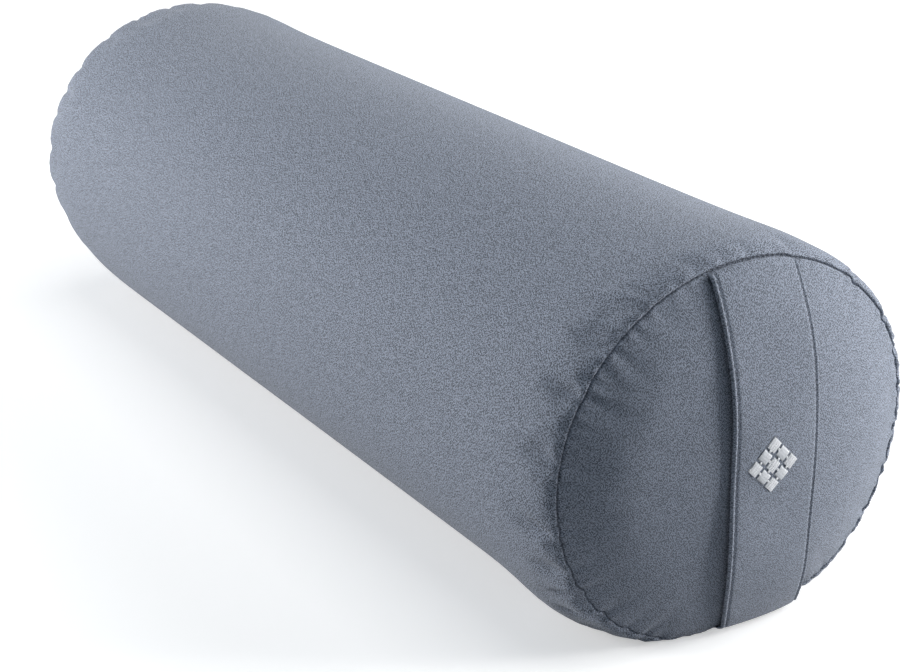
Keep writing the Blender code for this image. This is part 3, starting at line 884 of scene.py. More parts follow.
def strands(name, lines, ups, half_width, half_height, sides=6, end_share=0.45):
    """Closed strands: lines and ups are (strand, point, 3); each ring is an ellipse."""
    count, steps, _ = lines.shape
    forward = unit(np.gradient(lines, axis=1))
    sideways = unit(np.cross(forward, ups))
    upward = np.cross(sideways, forward)
    taper = np.ones(steps)
    taper[[0, -1]] = end_share
    turn = np.arange(sides) * 2 * np.pi / sides
    across = (half_width * taper[:, None] * np.cos(turn))[None, :, :, None]
    over = (half_height * taper[:, None] * np.sin(turn))[None, :, :, None]
    rings = lines[:, :, None] + across * sideways[:, :, None] + over * upward[:, :, None]
    one = grid_faces(steps, sides, wraps=True)
    first = (np.arange(count) * steps * sides)[:, None, None]
    quads = (first + one[None]).reshape(-1, 4)
    cap = np.arange(sides)
    starts = first[:, 0] + cap[::-1]
    ends = first[:, 0] + (steps - 1) * sides + cap
    faces = quads.tolist() + starts.tolist() + ends.tolist()
    lengthwise = np.linspace(0, 1, steps)[None, :, None, None]
    around = turn[None, None, :, None] / (2 * np.pi)
    maps = [part + 0 * rings[..., :1] for part in (lengthwise, around)]
    map_grid = np.concatenate(maps, axis=-1).reshape(-1, 2)
    numbers = np.concatenate([quads.ravel(), starts.ravel(), ends.ravel()])
    piece = make_mesh(name, rings.reshape(-1, 3), faces, map_grid[numbers])
    return face_outwards(piece)


def stitch_lines(path, ups, pitch, length, bow, steps=5):
    """Cuts a dense path into stitches: short bowed lines whose ends dip into the cloth."""
    run = running(np.linalg.norm(np.diff(path, axis=0), axis=1))
    count = int(run[-1] / pitch)
    starts = (np.arange(count) + 0.5) * run[-1] / count
    share = np.linspace(-0.5, 0.5, steps)
    places = (starts[:, None] + share[None, :] * length).clip(0, run[-1])
    lines, lifted = along_path(path, run, places), along_path(ups, run, places)
    arch = bow * (1 - (2 * share) ** 2)[None, :, None]
    return lines + (arch - bow * 0.7) * lifted, lifted


# %% The two round seams
SEAM_STITCH_PITCH = 0.0030
SEAM_STITCH_LENGTH = 0.0021
SEAM_STITCH_DEPTH = 0.0010
SEAM_STITCH_BOW = 0.0004
SEAM_THREAD_RADIUS = 0.00030


def seam_stitches(name, side):
    """Stitches deep in the groove between tube and disc."""
    row = FRONT_SEAM if side > 0 else BACK_SEAM
    turned = np.append(cover_angle[row], cover_angle[row][0] + 2 * np.pi)
    fine = np.linspace(turned[0], turned[-1], 3 * COLUMNS)
    x, radius = [
        np.interp(fine, turned, np.append(grid[row], grid[row][0]))
        for grid in (cover_x, cover_radius)
    ]
    sunk = SEAM_STITCH_DEPTH
    path = section(x + side * sunk * INWARD[0], radius + sunk * INWARD[1], fine, sunk)
    outer = section(x, radius, fine, 0.0)
    ups = unit(outer - path + 1e-9)
    lines, lifted = stitch_lines(
        path, ups, SEAM_STITCH_PITCH, SEAM_STITCH_LENGTH, SEAM_STITCH_BOW
    )
    return strands(name, lines, lifted, SEAM_THREAD_RADIUS, SEAM_THREAD_RADIUS)


front_stitches = seam_stitches("front_seam_stitches", 1)
back_stitches = seam_stitches("back_seam_stitches", -1)
print("faces of one seam's stitches:", len(front_stitches.data.polygons))

# %% [markdown]
# ## Carry band
#
# The band is a strip of the same cloth, turned under at both long edges and topstitched.
# Seen end on, its face ply is a shallow arch: it rounds over at the edges, is nipped
# where the stitches press it, and lies flat between. That outline is carried along the
# band's path. At both ends the band bends down into the seam.

# %% Section of the two plies
EDGE_ROLL = 0.0011
STITCH_INSET = 0.0025
STITCH_NIP = 0.00065
NIP_SPREAD = 0.0006
NIP_ROWS = (0.0004, 0.0009, 0.0014, 0.0020, 0.0027, 0.0036, 0.0050)
FACE_LIFT = 0.0021
FACE_EDGE = 0.0004
FLAT_START = 0.0100
UNDER_MARGIN = 0.0006
BACKING_MARGIN = 0.0016
TUCK_SHARE = 0.975
TUCK_DEPTH = 0.006


def face_outline():
    """Lane and depth round the face ply: over its outer side, then back along its inner side."""
    half = HANDLE_WIDTH / 2
    turn = np.linspace(0, np.pi / 2, 6)
    edge_lane = half - EDGE_ROLL + EDGE_ROLL * np.cos(turn)
    edge_depth = FACE_EDGE + (FACE_LIFT - FACE_EDGE) * np.sin(turn)
    inner = half - EDGE_ROLL - np.array(NIP_ROWS)
    nip = STITCH_NIP * np.exp(-((inner - half + STITCH_INSET) / NIP_SPREAD) ** 2)
    flat = np.linspace(half - FLAT_START, 0.0, 8, endpoint=False)
    lane = np.concatenate((edge_lane, inner, flat))
    depth = np.concatenate((edge_depth, FACE_LIFT - nip, np.full(len(flat), FACE_LIFT)))
    lane = np.concatenate((lane, -lane[::-1]))
    depth = np.concatenate((depth, depth[::-1]))
    under = np.linspace(-half + UNDER_MARGIN, half - UNDER_MARGIN, 12)
    lane = np.concatenate((lane, under))
    depth = np.concatenate((depth, np.full(len(under), HANDLE_PLY + CLEARANCE)))
    return lane + HANDLE_SHIFT, depth


def backing_outline():
    """Lane and depth round the backing ply, a flat strip with rounded edges."""
    half = HANDLE_WIDTH / 2 - BACKING_MARGIN
    thick = HANDLE_PLY / 2
    turn = np.linspace(np.pi / 2, -np.pi / 2, 6)
    right = np.stack((half + thick * np.cos(turn), thick + thick * np.sin(turn)), axis=-1)
    flat = np.linspace(half, -half, 10)[1:-1]
    bottom = np.stack((flat, np.zeros(len(flat))), axis=-1)
    left = np.stack((-right[::-1, 0], right[::-1, 1]), axis=-1)
    top = np.stack((flat[::-1], np.full(len(flat), HANDLE_PLY)), axis=-1)
    lane, depth = np.concatenate((right, bottom, left, top)).T
    return lane + HANDLE_SHIFT, depth


# %% Carrying an outline along the band
BAND_ROWS = 110
RIPPLE = 0.00013


def band_ripple(lane, along):
    """Small unevenness of sewn cloth: ripples along both stitch rows, and slow waves between."""
    half = HANDLE_WIDTH / 2
    side = (lane - HANDLE_SHIFT) / half
    near = np.exp(-((1 - abs(side)) / 0.16) ** 2)
    quick = np.sin(along * 83 + 2.1 * side) + 0.6 * np.sin(along * 131 - 1.3 * side + 0.7)
    slow = np.sin(along * 9.0 + 1.9 * side) + 0.7 * np.sin(along * 5.1 - 2.3 * side + 1.1)
    ends = 1 - abs(along) ** 6
    return ends * (RIPPLE * near * quick + 2.2 * RIPPLE * slow)


def tuck_ends(points, along, depth):
    """Bends the band's last stretch down into the seam's groove."""
    beyond = np.clip((abs(along) - TUCK_SHARE) / (1 - TUCK_SHARE), 0, 1) ** 1.5
    y = points[..., 1]
    seam = np.sqrt(SEAM_RADIUS ** 2 - (y / SPREAD) ** 2)
    foot = np.where(along > 0, seam, np.minimum(seam, CENTRE_HEIGHT - 0.0002))
    sunk = (FACE_LIFT - depth) * 0.8
    target_x = TUBE_LENGTH / 2 + 0.0007 + sunk * 0.5
    target_z = CENTRE_HEIGHT + np.sign(along) * (foot - 0.0005 - sunk)
    points[..., 0] += beyond * (target_x - points[..., 0])
    points[..., 2] += beyond * (target_z - points[..., 2])
    return points


def end_caps(rows, columns):
    """The two faces that close a tube of rings, at its first row and at its last."""
    return [list(range(columns))[::-1], list(range((rows - 1) * columns, rows * columns))]


def band_ply(name, outline, rippled=True):
    """An outline of lane and depth carried along the band, closed at both ends."""
    lane, depth = outline
    share = np.linspace(-1, 1, BAND_ROWS)
    along = np.sign(share) * (1 - (1 - abs(share)) ** 1.25)
    lanes, alongs = np.meshgrid(lane, along)
    depths = np.broadcast_to(depth, lanes.shape)
    ripple = band_ripple(lanes, alongs) if rippled else 0.0
    points = tuck_ends(band_point(lanes, alongs, depths + ripple), alongs, depths)
    inward = np.array((0.0, 0.0, TUCK_DEPTH))
    points = np.concatenate((points[[0]] + inward, points, points[[-1]] - inward))
    rows, columns = points.shape[:2]
    run = along * SEAM_RADIUS
    run = np.concatenate(([run[0] - TUCK_DEPTH], run, [run[-1] + TUCK_DEPTH]))
    across = np.append(lane, lane[0])
    map_grid = np.stack(np.broadcast_arrays(across[None, :], run[:, None]), axis=-1).reshape(-1, 2)
    quads = grid_faces(rows, columns, wraps=True)
    corners = map_grid[grid_faces(rows, columns + 1, wraps=False)].reshape(-1, 2)
    cap_map = np.concatenate([np.stack((lane, np.zeros(columns)), axis=-1)] * 2)
    faces = quads.tolist() + end_caps(rows, columns)
    piece = make_mesh(name, points.reshape(-1, 3), faces, np.concatenate((corners, cap_map)))
    return face_outwards(piece)


band_face = refine(band_ply("handle_face_cloth", face_outline()))
band_backing = band_ply("handle_backing_cloth", backing_outline())
print("band rows and columns:", BAND_ROWS, len(face_outline()[0]))

# %% Topstitching along both edges of the band
TOPSTITCH_PITCH = 0.0033
TOPSTITCH_LENGTH = 0.0024
TOPSTITCH_BOW = 0.00022
TOPSTITCH_RADIUS = 0.00028
TOPSTITCH_END = 0.965


def band_stitches(name, lane):
    """A row of stitches lying in the nip of the face ply."""
    along = np.linspace(-TOPSTITCH_END, TOPSTITCH_END, 1200)
    lanes = np.full_like(along, lane)
    lift = FACE_LIFT - STITCH_NIP + 0.6 * TOPSTITCH_RADIUS + band_ripple(lanes, along)
    path = band_point(lanes, along, lift)
    ups = unit(band_point(lanes, along, lift + 0.001) - path)
    lines, lifted = stitch_lines(path, ups, TOPSTITCH_PITCH, TOPSTITCH_LENGTH, TOPSTITCH_BOW)
    return strands(name, lines, lifted, TOPSTITCH_RADIUS, TOPSTITCH_RADIUS)


low_lane = HANDLE_SHIFT - HANDLE_WIDTH / 2 + STITCH_INSET
high_lane = HANDLE_SHIFT + HANDLE_WIDTH / 2 - STITCH_INSET
open_edge_stitches = band_stitches("handle_stitches_open_edge", low_lane)
flat_edge_stitches = band_stitches("handle_stitches_flat_edge", high_lane)
print("faces of one row:", len(open_edge_stitches.data.polygons))

# %% [markdown]
# ## Embroidery
#
# The band carries a small ornament in silver thread, of a plain traditional kind: nine
# linked lozenges, about as large as a thumbnail. Satin stitch is thread laid
# side by side over a small pad, so each lozenge is a row of strands that arch from edge
# to edge. Neighbours turn their strands the other way, and catch the light differently.

# %% Lozenges in satin stitch
MOTIF_SHIFT = -0.002
MOTIF_RAISE = 0.005
LOZENGE_SIDE = 0.0062
LOZENGE_SPACE = 0.0012
LINK_WIDTH = 0.0012
LINK_OVERLAP = 0.0006
LOZENGES = 3
THREAD_PITCH = 0.00034
PAD_HEIGHT = 0.00045
MOTIF_BED = FACE_LIFT + 0.00012


def on_band(first, second, lift):
    """From the motif's own axes, turned by an eighth, to a place on the band's face."""
    lane = MOTIF_SHIFT + (first - second) * math.sqrt(0.5)
    height = MOTIF_RAISE + (first + second) * math.sqrt(0.5)
    seam = np.sqrt(SEAM_RADIUS ** 2 - (lane / SPREAD) ** 2)
    along = height / seam
    return band_point(lane, along, MOTIF_BED + lift + band_ripple(lane, along))


def satin_patch(centre, across, length, width, turned, rng):
    """Lines of thread that fill a patch; each arches over a pad from edge to edge."""
    count = round(width / THREAD_PITCH)
    side = (np.arange(count) + 0.5) / count * 2 - 1
    share = np.linspace(-1, 1, 9)
    reach = length / 2 * (1 + rng.uniform(-0.02, 0.03, (count, 1)))
    run = share[None, :] * reach
    place = np.broadcast_to(side[:, None] * width / 2, run.shape)
    first, second = (place, run) if turned else (run, place)
    pad = PAD_HEIGHT * (1 - share[None, :] ** 4) * (1 - 0.5 * side[:, None] ** 4)
    pad = pad + rng.uniform(-0.00003, 0.00003, (count, 1))
    lines = on_band(centre + first, across + second, pad)
    ups = unit(on_band(centre + first, across + second, pad + 0.001) - lines)
    return lines, ups


def motif():
    """Nine lozenges and the twelve short links between them."""
    rng = np.random.default_rng(3)
    pitch = LOZENGE_SIDE + LOZENGE_SPACE
    places = (np.arange(LOZENGES) - (LOZENGES - 1) / 2) * pitch
    link = LOZENGE_SPACE + LINK_OVERLAP
    patches = []
    for row, first in enumerate(places):
        for column, second in enumerate(places):
            turned = (row + column) % 2 == 0
            patches.append((first, second, LOZENGE_SIDE, LOZENGE_SIDE, turned))
            if row < LOZENGES - 1:
                patches.append((first + pitch / 2, second, link, LINK_WIDTH, False))
            if column < LOZENGES - 1:
                patches.append((first, second + pitch / 2, link, LINK_WIDTH, True))
    lines, ups = zip(*[satin_patch(*patch, rng) for patch in patches])
    lines, ups = np.concatenate(lines), np.concatenate(ups)
    return strands("handle_motif_threads", lines, ups, THREAD_PITCH * 0.56, THREAD_PITCH * 0.42)


motif_threads = motif()
print("faces of the embroidery:", len(motif_threads.data.polygons))

# %% [markdown]
# ## Zip
#
# Along the back runs a nylon coil zip: a filament wound into a flat spiral, sewn along
# the edge of each tape. A spiral is the easiest of all shapes to write down, so the
# coils are true spirals here. The two rows stand a little apart in the middle, because
# the slider's neck has to pass between them along their whole length.

# %% Coils
COIL_END = 0.2464
COIL_PITCH = 0.00130
COIL_NEAR = 0.00036
COIL_FAR = 0.00285
COIL_HALF_HEIGHT = 0.00036
FILAMENT = 0.00027
COIL_STEPS = 10
TAPE_LIFT = 0.0002
SEWING_LIFT = 0.0003
SEWING_HEIGHT = 0.0017


def back_y(depth):
    """Y of a surface a depth under the cover's skin, on the zip's centre line."""
    return SPREAD * (TUBE_RADIUS - depth)


def coil(name, side):
    """A flattened spiral: height and y follow the cosine and sine of a steadily growing angle."""
    turns = int(2 * COIL_END / COIL_PITCH)
    turn = np.linspace(0, 2 * np.pi * turns, turns * COIL_STEPS + 1)
    x = np.linspace(-COIL_END + FILAMENT, COIL_END - FILAMENT, len(turn))
    low, high = COIL_NEAR + FILAMENT, COIL_FAR - FILAMENT
    rise = side * ((low + high) / 2 - (high - low) / 2 * np.cos(turn))
    middle = (back_y(COVER_WALL) + back_y(-TAPE_LIFT)) / 2
    y = middle + COIL_HALF_HEIGHT * np.sin(turn)
    line = np.stack((x, y, CENTRE_HEIGHT + rise), axis=-1)[None]
    ups = unit(np.stack((0 * x, np.sin(turn), -side * np.cos(turn)), axis=-1))[None]
    return strands(name, line, ups, FILAMENT, FILAMENT, sides=5, end_share=1.0)


def coil_stitches(name, side):
    """The sewing that holds a coil to its tape: one short bar over each turn."""
    count = int(2 * COIL_END / COIL_PITCH)
    x = (np.arange(count) + 0.5) * COIL_PITCH - count * COIL_PITCH / 2
    share = np.linspace(-1, 1, 4)
    run = x[:, None] + share[None, :] * COIL_PITCH * 0.42
    lift = back_y(-SEWING_LIFT) - SEWING_LIFT * share[None, :] ** 2 + 0 * run
    height = np.full_like(run, CENTRE_HEIGHT + side * SEWING_HEIGHT)
    lines = np.stack((run, lift, height), axis=-1)
    ups = np.broadcast_to((0.0, 1.0, 0.0), lines.shape)
    return strands(name, lines, ups, 0.00016, 0.00012, sides=5)


coils = [coil("zip_coil_upper_spiral", 1), coil("zip_coil_lower_spiral", -1)]
coil_sewing = [
    coil_stitches("zip_coil_sewing_upper", 1),
    coil_stitches("zip_coil_sewing_lower", -1),
]
print("faces of one coil:", len(coils[0].data.polygons))

# %% Stitching of the tapes, and a bar tack over each end of the slot
ZIP_STITCH_OFFSET = 0.0060
ZIP_STITCH_PITCH = 0.0031
ZIP_STITCH_LENGTH = 0.0023
ZIP_STITCH_BOW = 0.0002
TACK_STRANDS = 9
TACK_PITCH = 0.00042
TACK_HALF = 0.0050


def zip_stitches(name, side):
    """A dashed row on the cover beside the slot."""
    x = np.linspace(-SLOT_REACH, SLOT_REACH, 1500)
    turn = side * math.asin(ZIP_STITCH_OFFSET / TUBE_RADIUS)
    radius = TUBE_RADIUS + 0.00025 + 0 * x
    path = section(x, radius, turn, 0.0)
    ups = unit(section(x, radius + 0.001, turn, 0.0) - path)
    lines, lifted = stitch_lines(path, ups, ZIP_STITCH_PITCH, ZIP_STITCH_LENGTH, ZIP_STITCH_BOW)
    return strands(name, lines, lifted, 0.00026, 0.00024)


def bar_tacks(name):
    """Short strands side by side across both ends of the slot."""
    share = np.linspace(-1, 1, 9)
    rows = (np.arange(TACK_STRANDS) - (TACK_STRANDS - 1) / 2) * TACK_PITCH
    x = np.concatenate((SLOT_REACH + rows, -SLOT_REACH + rows))
    turn = share[None, :] * TACK_HALF / TUBE_RADIUS + 0 * x[:, None]
    radius = TUBE_RADIUS + 0.0006 * (1 - share[None, :] ** 6) + 0 * turn
    lines = section(x[:, None] + 0 * turn, radius, turn, 0.0)
    ups = unit(section(x[:, None] + 0 * turn, radius + 0.001, turn, 0.0) - lines)
    return strands(name, lines, ups, 0.00023, 0.0002)


zip_sewing = [zip_stitches("zip_stitches_upper", 1), zip_stitches("zip_stitches_lower", -1)]
tacks = bar_tacks("zip_bar_tacks")
print("faces of the zip's sewing:", [len(row.data.polygons) for row in (*zip_sewing, tacks)])

# %% [markdown]
# ## Cast metal
#
# The slider and its pull are small castings with every edge rounded. Each flat part is
# a ring of outlines, one inside the other: the outline walks round, and a rounded
# profile walks over its edge. The slider's body narrows towards its tail, and an arched
# bridge holds the pull.

# %% Rounded plates
def shrunk(outline, amount):
    """An outline moved inwards along its own normals; outlines are (corner, 2)."""
    ahead, behind = np.roll(outline, -1, 0), np.roll(outline, 1, 0)
    along = unit(ahead - behind)
    return outline + amount * np.stack((-along[:, 1], along[:, 0]), axis=-1)


def levelled(rings):
    """Flat rings, each given with its level, as one grid of points."""
    return np.stack([np.column_stack((ring, np.full(len(ring), level))) for ring, level in rings])


def superellipse(turn, power):
    """Cosine and sine of the angles, each drawn out by a power towards a rounded box."""
    return [np.sign(part) * abs(part) ** power for part in (np.cos(turn), np.sin(turn))]


def plate_rings(outline, low, high, edge):
    """Rings over a plate: from the middle of a face, round the edge, to the other middle."""
    middle = outline.mean(axis=0)
    upper, lower = [], []
    for share in (0.05, 0.6):
        ring = middle + (shrunk(outline, edge) - middle) * share
        upper.append((ring, high))
        lower.append((ring, low))
    for step in np.linspace(0, np.pi / 2, 4):
        ring, sunk = shrunk(outline, edge * (1 - np.sin(step))), edge * (1 - np.cos(step))
        upper.append((ring, high - sunk))
        lower.append((ring, low + sunk))
    return levelled(upper + lower[::-1])


def closed_grid(rings, cap=True):
    """Points and faces of rings that close on themselves; the two end rings are capped."""
    rows, columns = rings.shape[:2]
    faces = grid_faces(rows, columns, wraps=True).tolist()
    if cap:
        faces += end_caps(rows, columns)
    else:
        last = (rows - 1) * columns + np.arange(columns)
        first = np.arange(columns)
        faces += np.stack((last, np.roll(last, -1), np.roll(first, -1), first), axis=-1).tolist()
    return rings.reshape(-1, 3), faces


def joined(name, bodies):
    """One mesh from several closed bodies, each given as points and faces."""
    points, faces, first = [], [], 0
    for body_points, body_faces in bodies:
        points.append(body_points)
        faces += [[corner + first for corner in face] for face in body_faces]
        first += len(body_points)
    return face_outwards(make_mesh(name, np.concatenate(points), faces))


# %% The slider
SLIDER_LENGTH = 0.0110
SLIDER_PLATE = 0.0008
BRIDGE_LENGTH = 0.0050
BRIDGE_ROOM = 0.0022
BRIDGE_BAR = 0.0008
BRIDGE_HALF_WIDTH = 0.0007
slider_low, slider_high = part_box("zip_slider")
SLIDER_X = (slider_low.x + slider_high.x) / 2
SLIDER_SKIN = slider_high.y - SLIDER_PLATE - BRIDGE_ROOM - BRIDGE_BAR


def slider_outline(length, front, tail, steps=40):
    """A shield: a rounded box whose half width runs from front at +x to tail at -x."""
    turn = np.arange(steps) * 2 * np.pi / steps
    along, across = superellipse(turn, 0.45)
    half = tail + (front - tail) * (0.5 + 0.5 * along) ** 1.5
    return np.stack((along * length / 2, across * half), axis=-1)


def to_zip(points, x, y):
    """From a plate's own plane to the zip's: its length along X, its thickness along Y."""
    along, across, level = np.moveaxis(points, -1, 0)
    return np.stack((x + along, y + level, CENTRE_HEIGHT + across), axis=-1)


def slider_bridge():
    """An arched bar on top of the slider: a round section along a flat-topped arch."""
    share = np.linspace(-1, 1, 17)[:, None]
    turn = np.arange(8) * 2 * np.pi / 8
    inner_height = SLIDER_PLATE / 2 + BRIDGE_ROOM + SLIDER_PLATE / 2
    arch = (1 - abs(share) ** 5) ** 0.5
    reach = BRIDGE_LENGTH / 2 - BRIDGE_BAR / 2
    along = reach * np.sin(share * np.pi / 2)
    rise = SLIDER_PLATE / 2 + (inner_height - 0.0004) * arch
    line = np.concatenate((along, 0 * share, rise), axis=-1)
    tangent = unit(np.gradient(line, axis=0))
    outward = np.stack((-tangent[:, 2], 0 * tangent[:, 1], tangent[:, 0]), axis=-1)
    radial = np.cos(turn)[None, :, None] * outward[:, None] * BRIDGE_BAR / 2
    side = np.sin(turn)[None, :, None] * np.array((0, 1.0, 0)) * BRIDGE_HALF_WIDTH
    return line[:, None] + radial + side


def slider_body():
    """Two shield-shaped plates, a neck between them and a bridge on top."""
    under = slider_low.y - SLIDER_SKIN
    wide = slider_outline(SLIDER_LENGTH, 0.0040, 0.0031)
    narrow = slider_outline(SLIDER_LENGTH, 0.0031, 0.0027)
    top = plate_rings(wide, 0.0, SLIDER_PLATE, 0.0003)
    low = plate_rings(narrow, under, under + SLIDER_PLATE, 0.0002)
    neck = plate_rings(slider_outline(0.0040, 0.0003, 0.0002), under + 0.0004, 0.0004, 0.0001)
    neck[..., 0] += SLIDER_LENGTH / 6
    parts = (top, low, neck, slider_bridge())
    bodies = [closed_grid(to_zip(part, SLIDER_X, SLIDER_SKIN)) for part in parts]
    return joined("zip_slider_casting", bodies)


slider = slider_body()
print("slider's box:", [round(1000 * v, 1) for v in (*slider.bound_box[0], *slider.bound_box[6])])

# %% The pull
PULL_LENGTH = 0.0210
PULL_WIDTH = 0.0060
PULL_THICKNESS = 0.0010
PULL_COLUMNS = 72
pull_low, pull_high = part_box("zip_pull")
PULL_X = pull_low.x + PULL_THICKNESS / 2
PULL_Y = (pull_low.y + pull_high.y) / 2


def resampled(corners, count):
    """Points spaced evenly round a closed outline of corners."""
    closed = np.concatenate((corners, corners[:1]))
    run = run_length(*closed.T)
    return along_path(closed, run, np.arange(count) * run[-1] / count)


def pull_tab():
    """A loft from the eye's outline to the tab's, over one face and back under the other."""
    bar, eye, tab = PULL_THICKNESS / 2, 0.0010, PULL_WIDTH / 2
    swing = math.hypot(BRIDGE_LENGTH / 2, BRIDGE_ROOM / 2 + BRIDGE_BAR) + 0.0006
    round_end = np.linspace(-np.pi / 2, np.pi / 2, 14)
    end = np.stack((PULL_LENGTH - tab + tab * np.cos(round_end), tab * np.sin(round_end)), -1)
    outer = np.concatenate((
        [(-bar, 0.0), (-bar, -0.0017), (-bar + 0.0003, -0.0020), (swing + 0.0006, -0.0020)],
        [(swing + 0.0030, -tab)], end, [(swing + 0.0030, tab)],
        [(swing + 0.0006, 0.0020), (-bar + 0.0003, 0.0020), (-bar, 0.0017)],
    ))
    inner = np.array([(bar, 0.0), (bar, -eye), (swing, -eye), (swing, eye), (bar, eye)])
    outer, inner = resampled(outer, PULL_COLUMNS), resampled(inner, PULL_COLUMNS)
    share = np.array([0.0, 0.04, 0.12, 0.30, 0.60, 0.80, 0.88, 0.96, 1.0])
    rim = PULL_THICKNESS / 2 * np.array([0.55, 0.9, 1.0, 1.0, 1.0, 1.0, 1.0, 0.92, 0.55])
    rings = [(inner + (outer - inner) * part, level) for part, level in zip(share, rim)]
    rings += [(ring, -level) for ring, level in rings[::-1]]
    return closed_grid(to_zip(levelled(rings), PULL_X, PULL_Y), cap=False)


pull = joined("zip_pull_tab", [pull_tab()])
print("pull's box:", [round(1000 * v, 1) for v in (*pull.bound_box[0], *pull.bound_box[6])])

# %% Stops: crimped metal, replaced by rounded forms of the same size
STOP_EDGE = 0.0004


def stop_form(name, node):
    """A pillow over the node's own box: a superellipse in plan, with rounded edges."""
    low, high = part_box(node)
    length, width = high.x - low.x, high.z - low.z
    turn = np.arange(28) * 2 * np.pi / 28
    along, across = superellipse(turn, 0.35)
    outline = np.stack((along * length / 2, across * width / 2), axis=-1)
    rings = plate_rings(outline, 0.0, high.y - low.y, STOP_EDGE)
    rings[..., 0] += (low.x + high.x) / 2
    rings[..., 1] += (low.z + high.z) / 2 - CENTRE_HEIGHT
    return joined(name, [closed_grid(to_zip(rings, 0.0, low.y))])


stops = [
    stop_form("zip_top_stop_upper_crimp", "zip_top_stop_upper"),
    stop_form("zip_top_stop_lower_crimp", "zip_top_stop_lower"),
    stop_form("zip_bottom_stop_crimp", "zip_bottom_stop"),
]

# %% [markdown]
# ## What the cover holds
#
# Inside lies a plain cotton bag with the grain hulls. They hardly show, yet they are
# pieces of the real bolster. They take the cover's own gathered form, a little further
# in, so that nothing pokes through.

# %% Inner bag and filling
BAG_INSET = 0.0016
FILLING_INSET = 0.0032


def inner_form(name, first, last, inset, poles=()):
    """Every fourth column of the gathered form between two rows, moved inwards."""
    rows = np.arange(first, last + 1)
    x = cover_x[rows][:, ::4]
    radius = cover_radius[rows][:, ::4] - inset
    shrink = 1 - inset / (TUBE_LENGTH / 2)
    angle = cover_angle[rows][:, ::4]
    points = section(x * shrink, radius, angle, inset)
    faces = grid_faces(*x.shape, wraps=True).tolist()
    columns, count = x.shape[1], x.size
    grid = points.reshape(-1, 3)
    for number, side in enumerate(poles):
        start = 0 if side < 0 else count - columns
        ring = start + np.arange(columns)
        tip = section(side * (TUBE_LENGTH / 2 + END_CROWN) * shrink, 0.0, 0.0, inset)
        grid = np.concatenate((grid, tip[None]))
        tips = np.full(columns, count + number)
        order = (ring, np.roll(ring, -1), tips) if side > 0 else (np.roll(ring, -1), ring, tips)
        faces += np.stack(order, axis=-1).tolist()
    return face_outwards(make_mesh(name, grid, faces))


last_row = len(ROW_X) - 1
bag = [
    inner_form("inner_bag_tube_cotton", BACK_SEAM, FRONT_SEAM, BAG_INSET),
    inner_form("inner_bag_front_cotton", FRONT_SEAM, last_row, BAG_INSET, (1,)),
    inner_form("inner_bag_back_cotton", 0, BACK_SEAM, BAG_INSET, (-1,)),
]
hulls = inner_form("filling_hulls", 0, last_row, FILLING_INSET, (-1, 1))
print("faces inside:", [len(p.data.polygons) for p in (*bag, hulls)])


# %% [markdown]
# ## Materials
#
# Cloth reads by its threads: a twill shows fine slanting ribs, and a melange yarn is spun
# from lighter and darker tufts, which show as a fine speckle. Both are built once, as a
# node group that takes a map in metres and gives a tone and a height, and each cloth uses
# it with its own pitch and strength. The speckle is white noise on cells: one number for
# each tuft, which nothing smoother can give.

# %% Small helpers for node trees
def new_group(name, inputs, outputs):
    """A shader node group with float or vector sockets."""
    group = bpy.data.node_groups.new(name, "ShaderNodeTree")
    for title, kind, value in inputs:
        socket = group.interface.new_socket(title, in_out="INPUT", socket_type="NodeSocket" + kind)
        if value is not None:
            socket.default_value = value
    for title, kind in outputs:
        group.interface.new_socket(title, in_out="OUTPUT", socket_type="NodeSocket" + kind)
    return group, group.nodes.new("NodeGroupInput"), group.nodes.new("NodeGroupOutput")


def node(tree, kind, *links, **settings):
    """A node with its settings; links go to its inputs in order, a number or an output each."""
    made = tree.nodes.new("ShaderNode" + kind)
    for key, value in settings.items():
        setattr(made, key, value)
    for place, link in enumerate(links):
        if link is None:
            continue
        if isinstance(link, bpy.types.NodeSocket):
            tree.links.new(link, made.inputs[place])
        else:
            made.inputs[place].default_value = link
    return made


def maths(tree, operation, *values):
    """The result of a Math node."""
    return node(tree, "Math", *values, operation=operation).outputs[0]


# %% The weave, as a group
SPECKLE_SHARE = 0.72
FIBRE_SHARE = 0.14
NEIGHBOUR_SHARE = 0.6
FIBRE_SCALE = 1.1
SLOW_SCALE = 170.0


def tuft_number(group, thread, lengthwise, across=0.0, along=0.0):
    """A random number for the tuft that lies some threads across and some tufts along."""
    place = maths(group, "ADD", thread, across)
    start = maths(group, "MULTIPLY_ADD", place, 0.618, lengthwise)
    tuft = maths(group, "ADD", maths(group, "FLOOR", start), along)
    cell = node(group, "CombineXYZ", place, tuft, 0.0).outputs[0]
    return node(group, "TexWhiteNoise", cell, noise_dimensions="2D").outputs[0]


